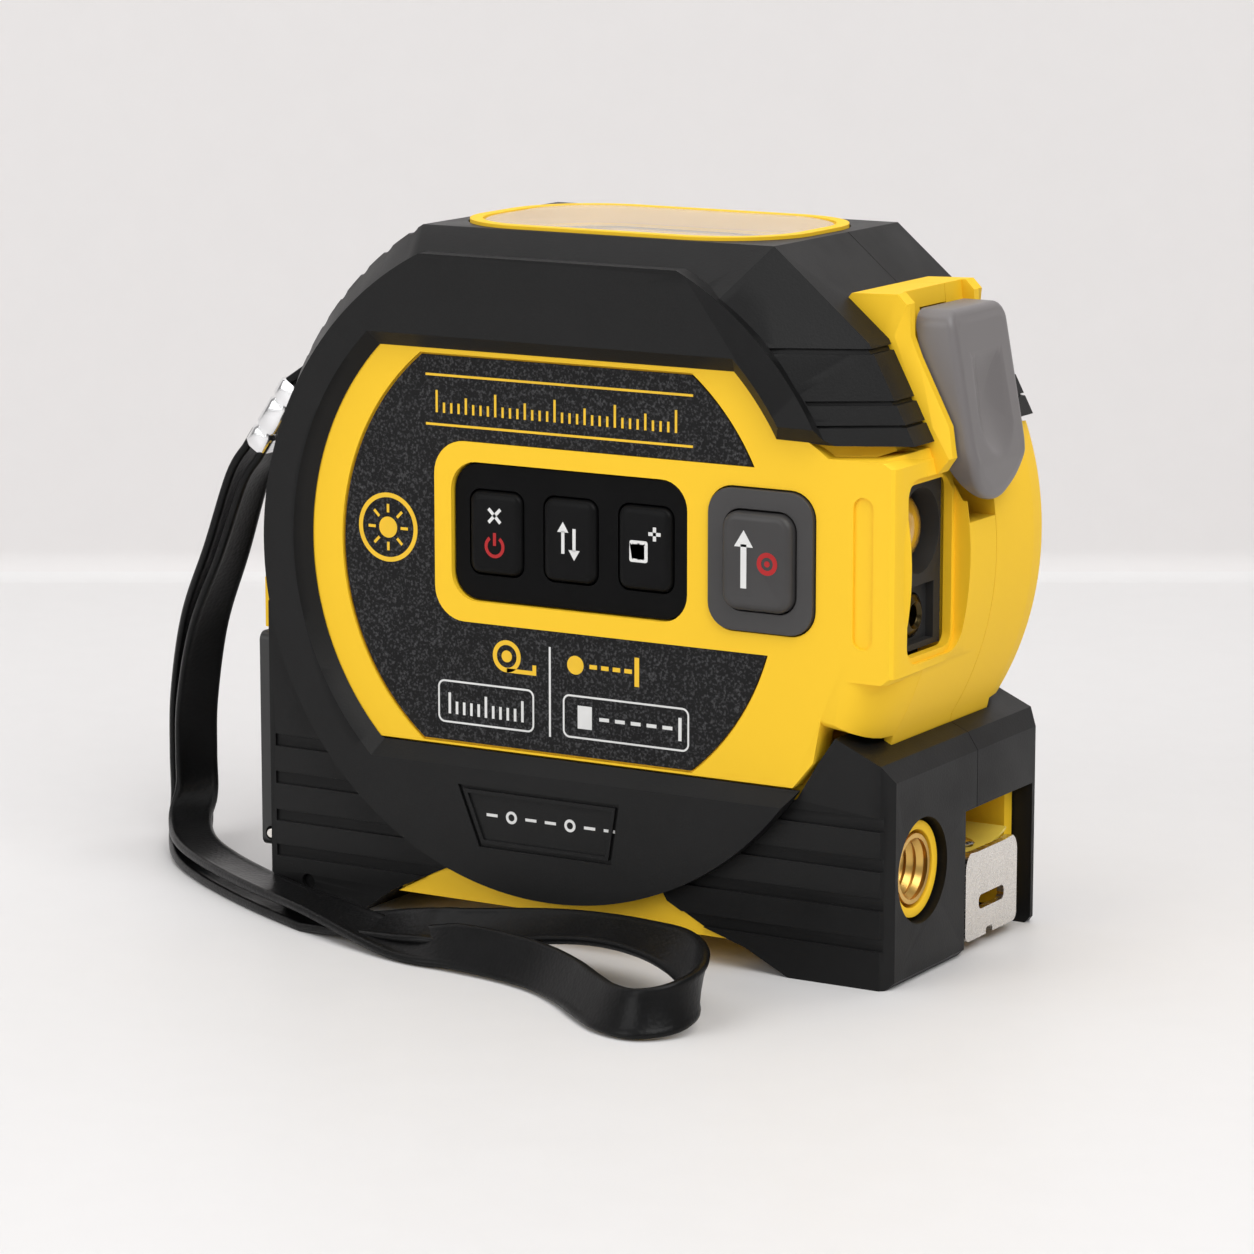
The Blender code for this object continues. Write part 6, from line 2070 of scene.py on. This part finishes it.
    def clip(self) -> bpy.types.Object:
        """The pressed metal clip, with its seam and two press lines.

        Returns:
            The piece.
        """
        reach = math.dist(self.clip_start, self.clip_end)
        half_width, half_thick = self.width / 2 + 0.3, 1.65
        rings = []
        for x, shrink in ((-reach / 2, 0.35), (-reach / 2 + 0.4, 0.0), (-reach / 2 + 2.4, 0.0),
                          (-reach / 2 + 2.9, 0.3),
                          (-reach / 2 + 3.4, 0.0), (reach / 2 - 3.4, 0.0), (reach / 2 - 2.9, 0.3),
                          (reach / 2 - 2.4, 0.0), (reach / 2 - 0.4, 0.0), (reach / 2, 0.35)):
            outline = rounded_box(-half_width + shrink * 0.4, half_width - shrink * 0.4, -half_thick + shrink,
                                  half_thick - shrink, 0.9, 6)
            rings.append([(x, y, z) for y, z in outline])
        along = self.along()
        middle = [(a + b) / 2 for a, b in zip(self.clip_start, self.clip_end)]
        place = (Matrix.Translation((middle[0], self.y, middle[1]))
                 @ Matrix.Rotation(-math.atan2(along.z, along.x), 4, "Y"))
        shape = stacked("strap_clip", [[tuple(place @ Vector(p)) for p in ring] for ring in rings])
        seam = stacked("seam", [[tuple(place @ Vector((x, y, z))) for y, z in
                                 ((-0.12, -2.6), (0.12, -2.6), (0.12, -1.55), (-0.12, -1.55))]
                                for x in (-reach / 2 - 1, reach / 2 + 1)])
        combined(shape, "DIFFERENCE", [seam])
        return dress(shaded(shape, 30), FINISH.crimp, "case", "strap_crimp")


# Studio


@dataclass
class Lamp:
    """A square soft light that faces a point."""

    name: str
    place: Point3
    target: Point3
    size: float
    power: float
    colour: Point3 = (1, 1, 1)
    height: float | None = None

    def build(self) -> None:
        """Makes the light."""
        data = bpy.data.lights.new(self.name, "AREA")
        data.shape = "RECTANGLE" if self.height else "SQUARE"
        data.size = self.size
        if self.height:
            data.size_y = self.height
        data.energy = self.power
        data.color = self.colour
        lamp = bpy.data.objects.new(self.name, data)
        bpy.context.scene.collection.objects.link(lamp)
        lamp.location = self.place
        lamp.rotation_euler = (Vector(self.target) - Vector(self.place)).to_track_quat("-Z", "Y").to_euler()


@dataclass
class Studio:
    """The camera, the pale sweep behind the tool and the soft lights."""

    azimuth: float = 30.555
    elevation: float = 10.873
    target: Point3 = (5.38, -16.64, 37.92)
    distance: float = 539.2
    lens: float = 134.83
    sensor: float = 36.0
    wall: float = 0.223
    bend: float = 0.005
    reach: float = 2.4

    def view(self) -> Vector:
        """The level direction that the camera looks in."""
        a = math.radians(self.azimuth)
        return Vector((-math.sin(a), math.cos(a), 0))

    def camera(self) -> None:
        """Places the camera."""
        data = bpy.data.cameras.new("camera")
        data.sensor_width = self.sensor
        data.lens = self.lens
        data.clip_start = 0.01
        data.clip_end = 20
        camera = bpy.data.objects.new("camera", data)
        bpy.context.scene.collection.objects.link(camera)
        rise = math.radians(self.elevation)
        back = -self.view() * math.cos(rise) + Vector((0, 0, math.sin(rise)))
        camera.location = (Vector(self.target) + back * self.distance) * MM
        camera.rotation_euler = (-back).to_track_quat("-Z", "Y").to_euler()
        bpy.context.scene.camera = camera

    def sweep(self) -> None:
        """Builds the floor and the wall behind the tool."""
        ahead, side = self.view(), Vector((math.cos(math.radians(self.azimuth)),
                                           math.sin(math.radians(self.azimuth)), 0))
        bend = [(self.wall - self.bend + self.bend * math.sin(a), self.bend * (1 - math.cos(a)))
                for a in (math.radians(9 * i) for i in range(11))]
        for name, profile, finish in (("floor", [(-self.reach, 0.0), *bend[:6]], FINISH.floor),
                                      ("wall", [*bend[5:], (self.wall, self.reach)], FINISH.wall)):
            bm = bmesh.new()
            rows = [[bm.verts.new(ahead * d + side * s + Vector((0, 0, z))) for s in (-self.reach,
                                                                                      self.reach)]
                    for d, z in profile]
            for a, b in zip(rows, rows[1:]):
                bm.faces.new((a[0], a[1], b[1], b[0]))
            mesh = bpy.data.meshes.new(name)
            bm.to_mesh(mesh)
            bm.free()
            mesh.shade_smooth()
            obj = bpy.data.objects.new(name, mesh)
            bpy.context.scene.collection.objects.link(obj)
            mesh.materials.append(self.one_sided(finish.material()))

    @staticmethod
    def one_sided(material: bpy.types.Material) -> bpy.types.Material:
        """Lets light and views through a surface from its back, so that the tool can be seen from behind.

        Args:
            material: The surface's material.

        Returns:
            The same material.
        """
        nodes, links = material.node_tree.nodes, material.node_tree.links
        output = next(node for node in nodes if node.type == "OUTPUT_MATERIAL")
        mix = nodes.new("ShaderNodeMixShader")
        links.new(nodes.new("ShaderNodeNewGeometry").outputs["Backfacing"], mix.inputs[0])
        links.new(output.inputs["Surface"].links[0].from_socket, mix.inputs[1])
        links.new(nodes.new("ShaderNodeBsdfTransparent").outputs[0], mix.inputs[2])
        links.new(mix.outputs[0], output.inputs["Surface"])
        return material

    def lights(self) -> None:
        """Sets the lights and the sky light."""
        scene = bpy.context.scene
        scene.view_settings.view_transform = "Standard"
        world = bpy.data.worlds.new("studio_sky")
        world.use_nodes = True
        sky = world.node_tree.nodes["Background"]
        sky.inputs["Color"].default_value = (1.0, 0.995, 0.99, 1)
        sky.inputs["Strength"].default_value = 0.27
        scene.world = world
        centre = (0.0, 0.0, 0.04)
        for lamp in (Lamp("key_light", (0.6, -0.35, 0.75), centre, 0.7, 6.0),
                     Lamp("top_light", (-0.1, 0.0, 0.9), centre, 0.9, 4.0),
                     Lamp("left_light", (-0.35, -0.85, 0.4), centre, 0.7, 3.4)):
            lamp.build()


def main() -> None:
    """Builds the studio and every sub-assembly."""
    logging.basicConfig(level=logging.INFO, format="%(name)s: %(message)s")
    studio = Studio()
    studio.camera()
    WristStrap().build()
    studio.sweep()
    studio.lights()
    form = CaseForm()
    for side in Side:
        Housing(form, side).build()
        Grip(form, side).build()
        Feet(form, side).build()
        SideLabel(form, side).build()
    badge_marks(form)
    Keypad().build()
    MeasureKey().build()
    Display(form).build()
    Optics().build()
    ThumbLock().build()
    TripodInsert().build()
    TapeReel().build()
    BatteryBay().build()
    case_screws(form)
    inner_parts()


if __name__ == "__main__":
    main()
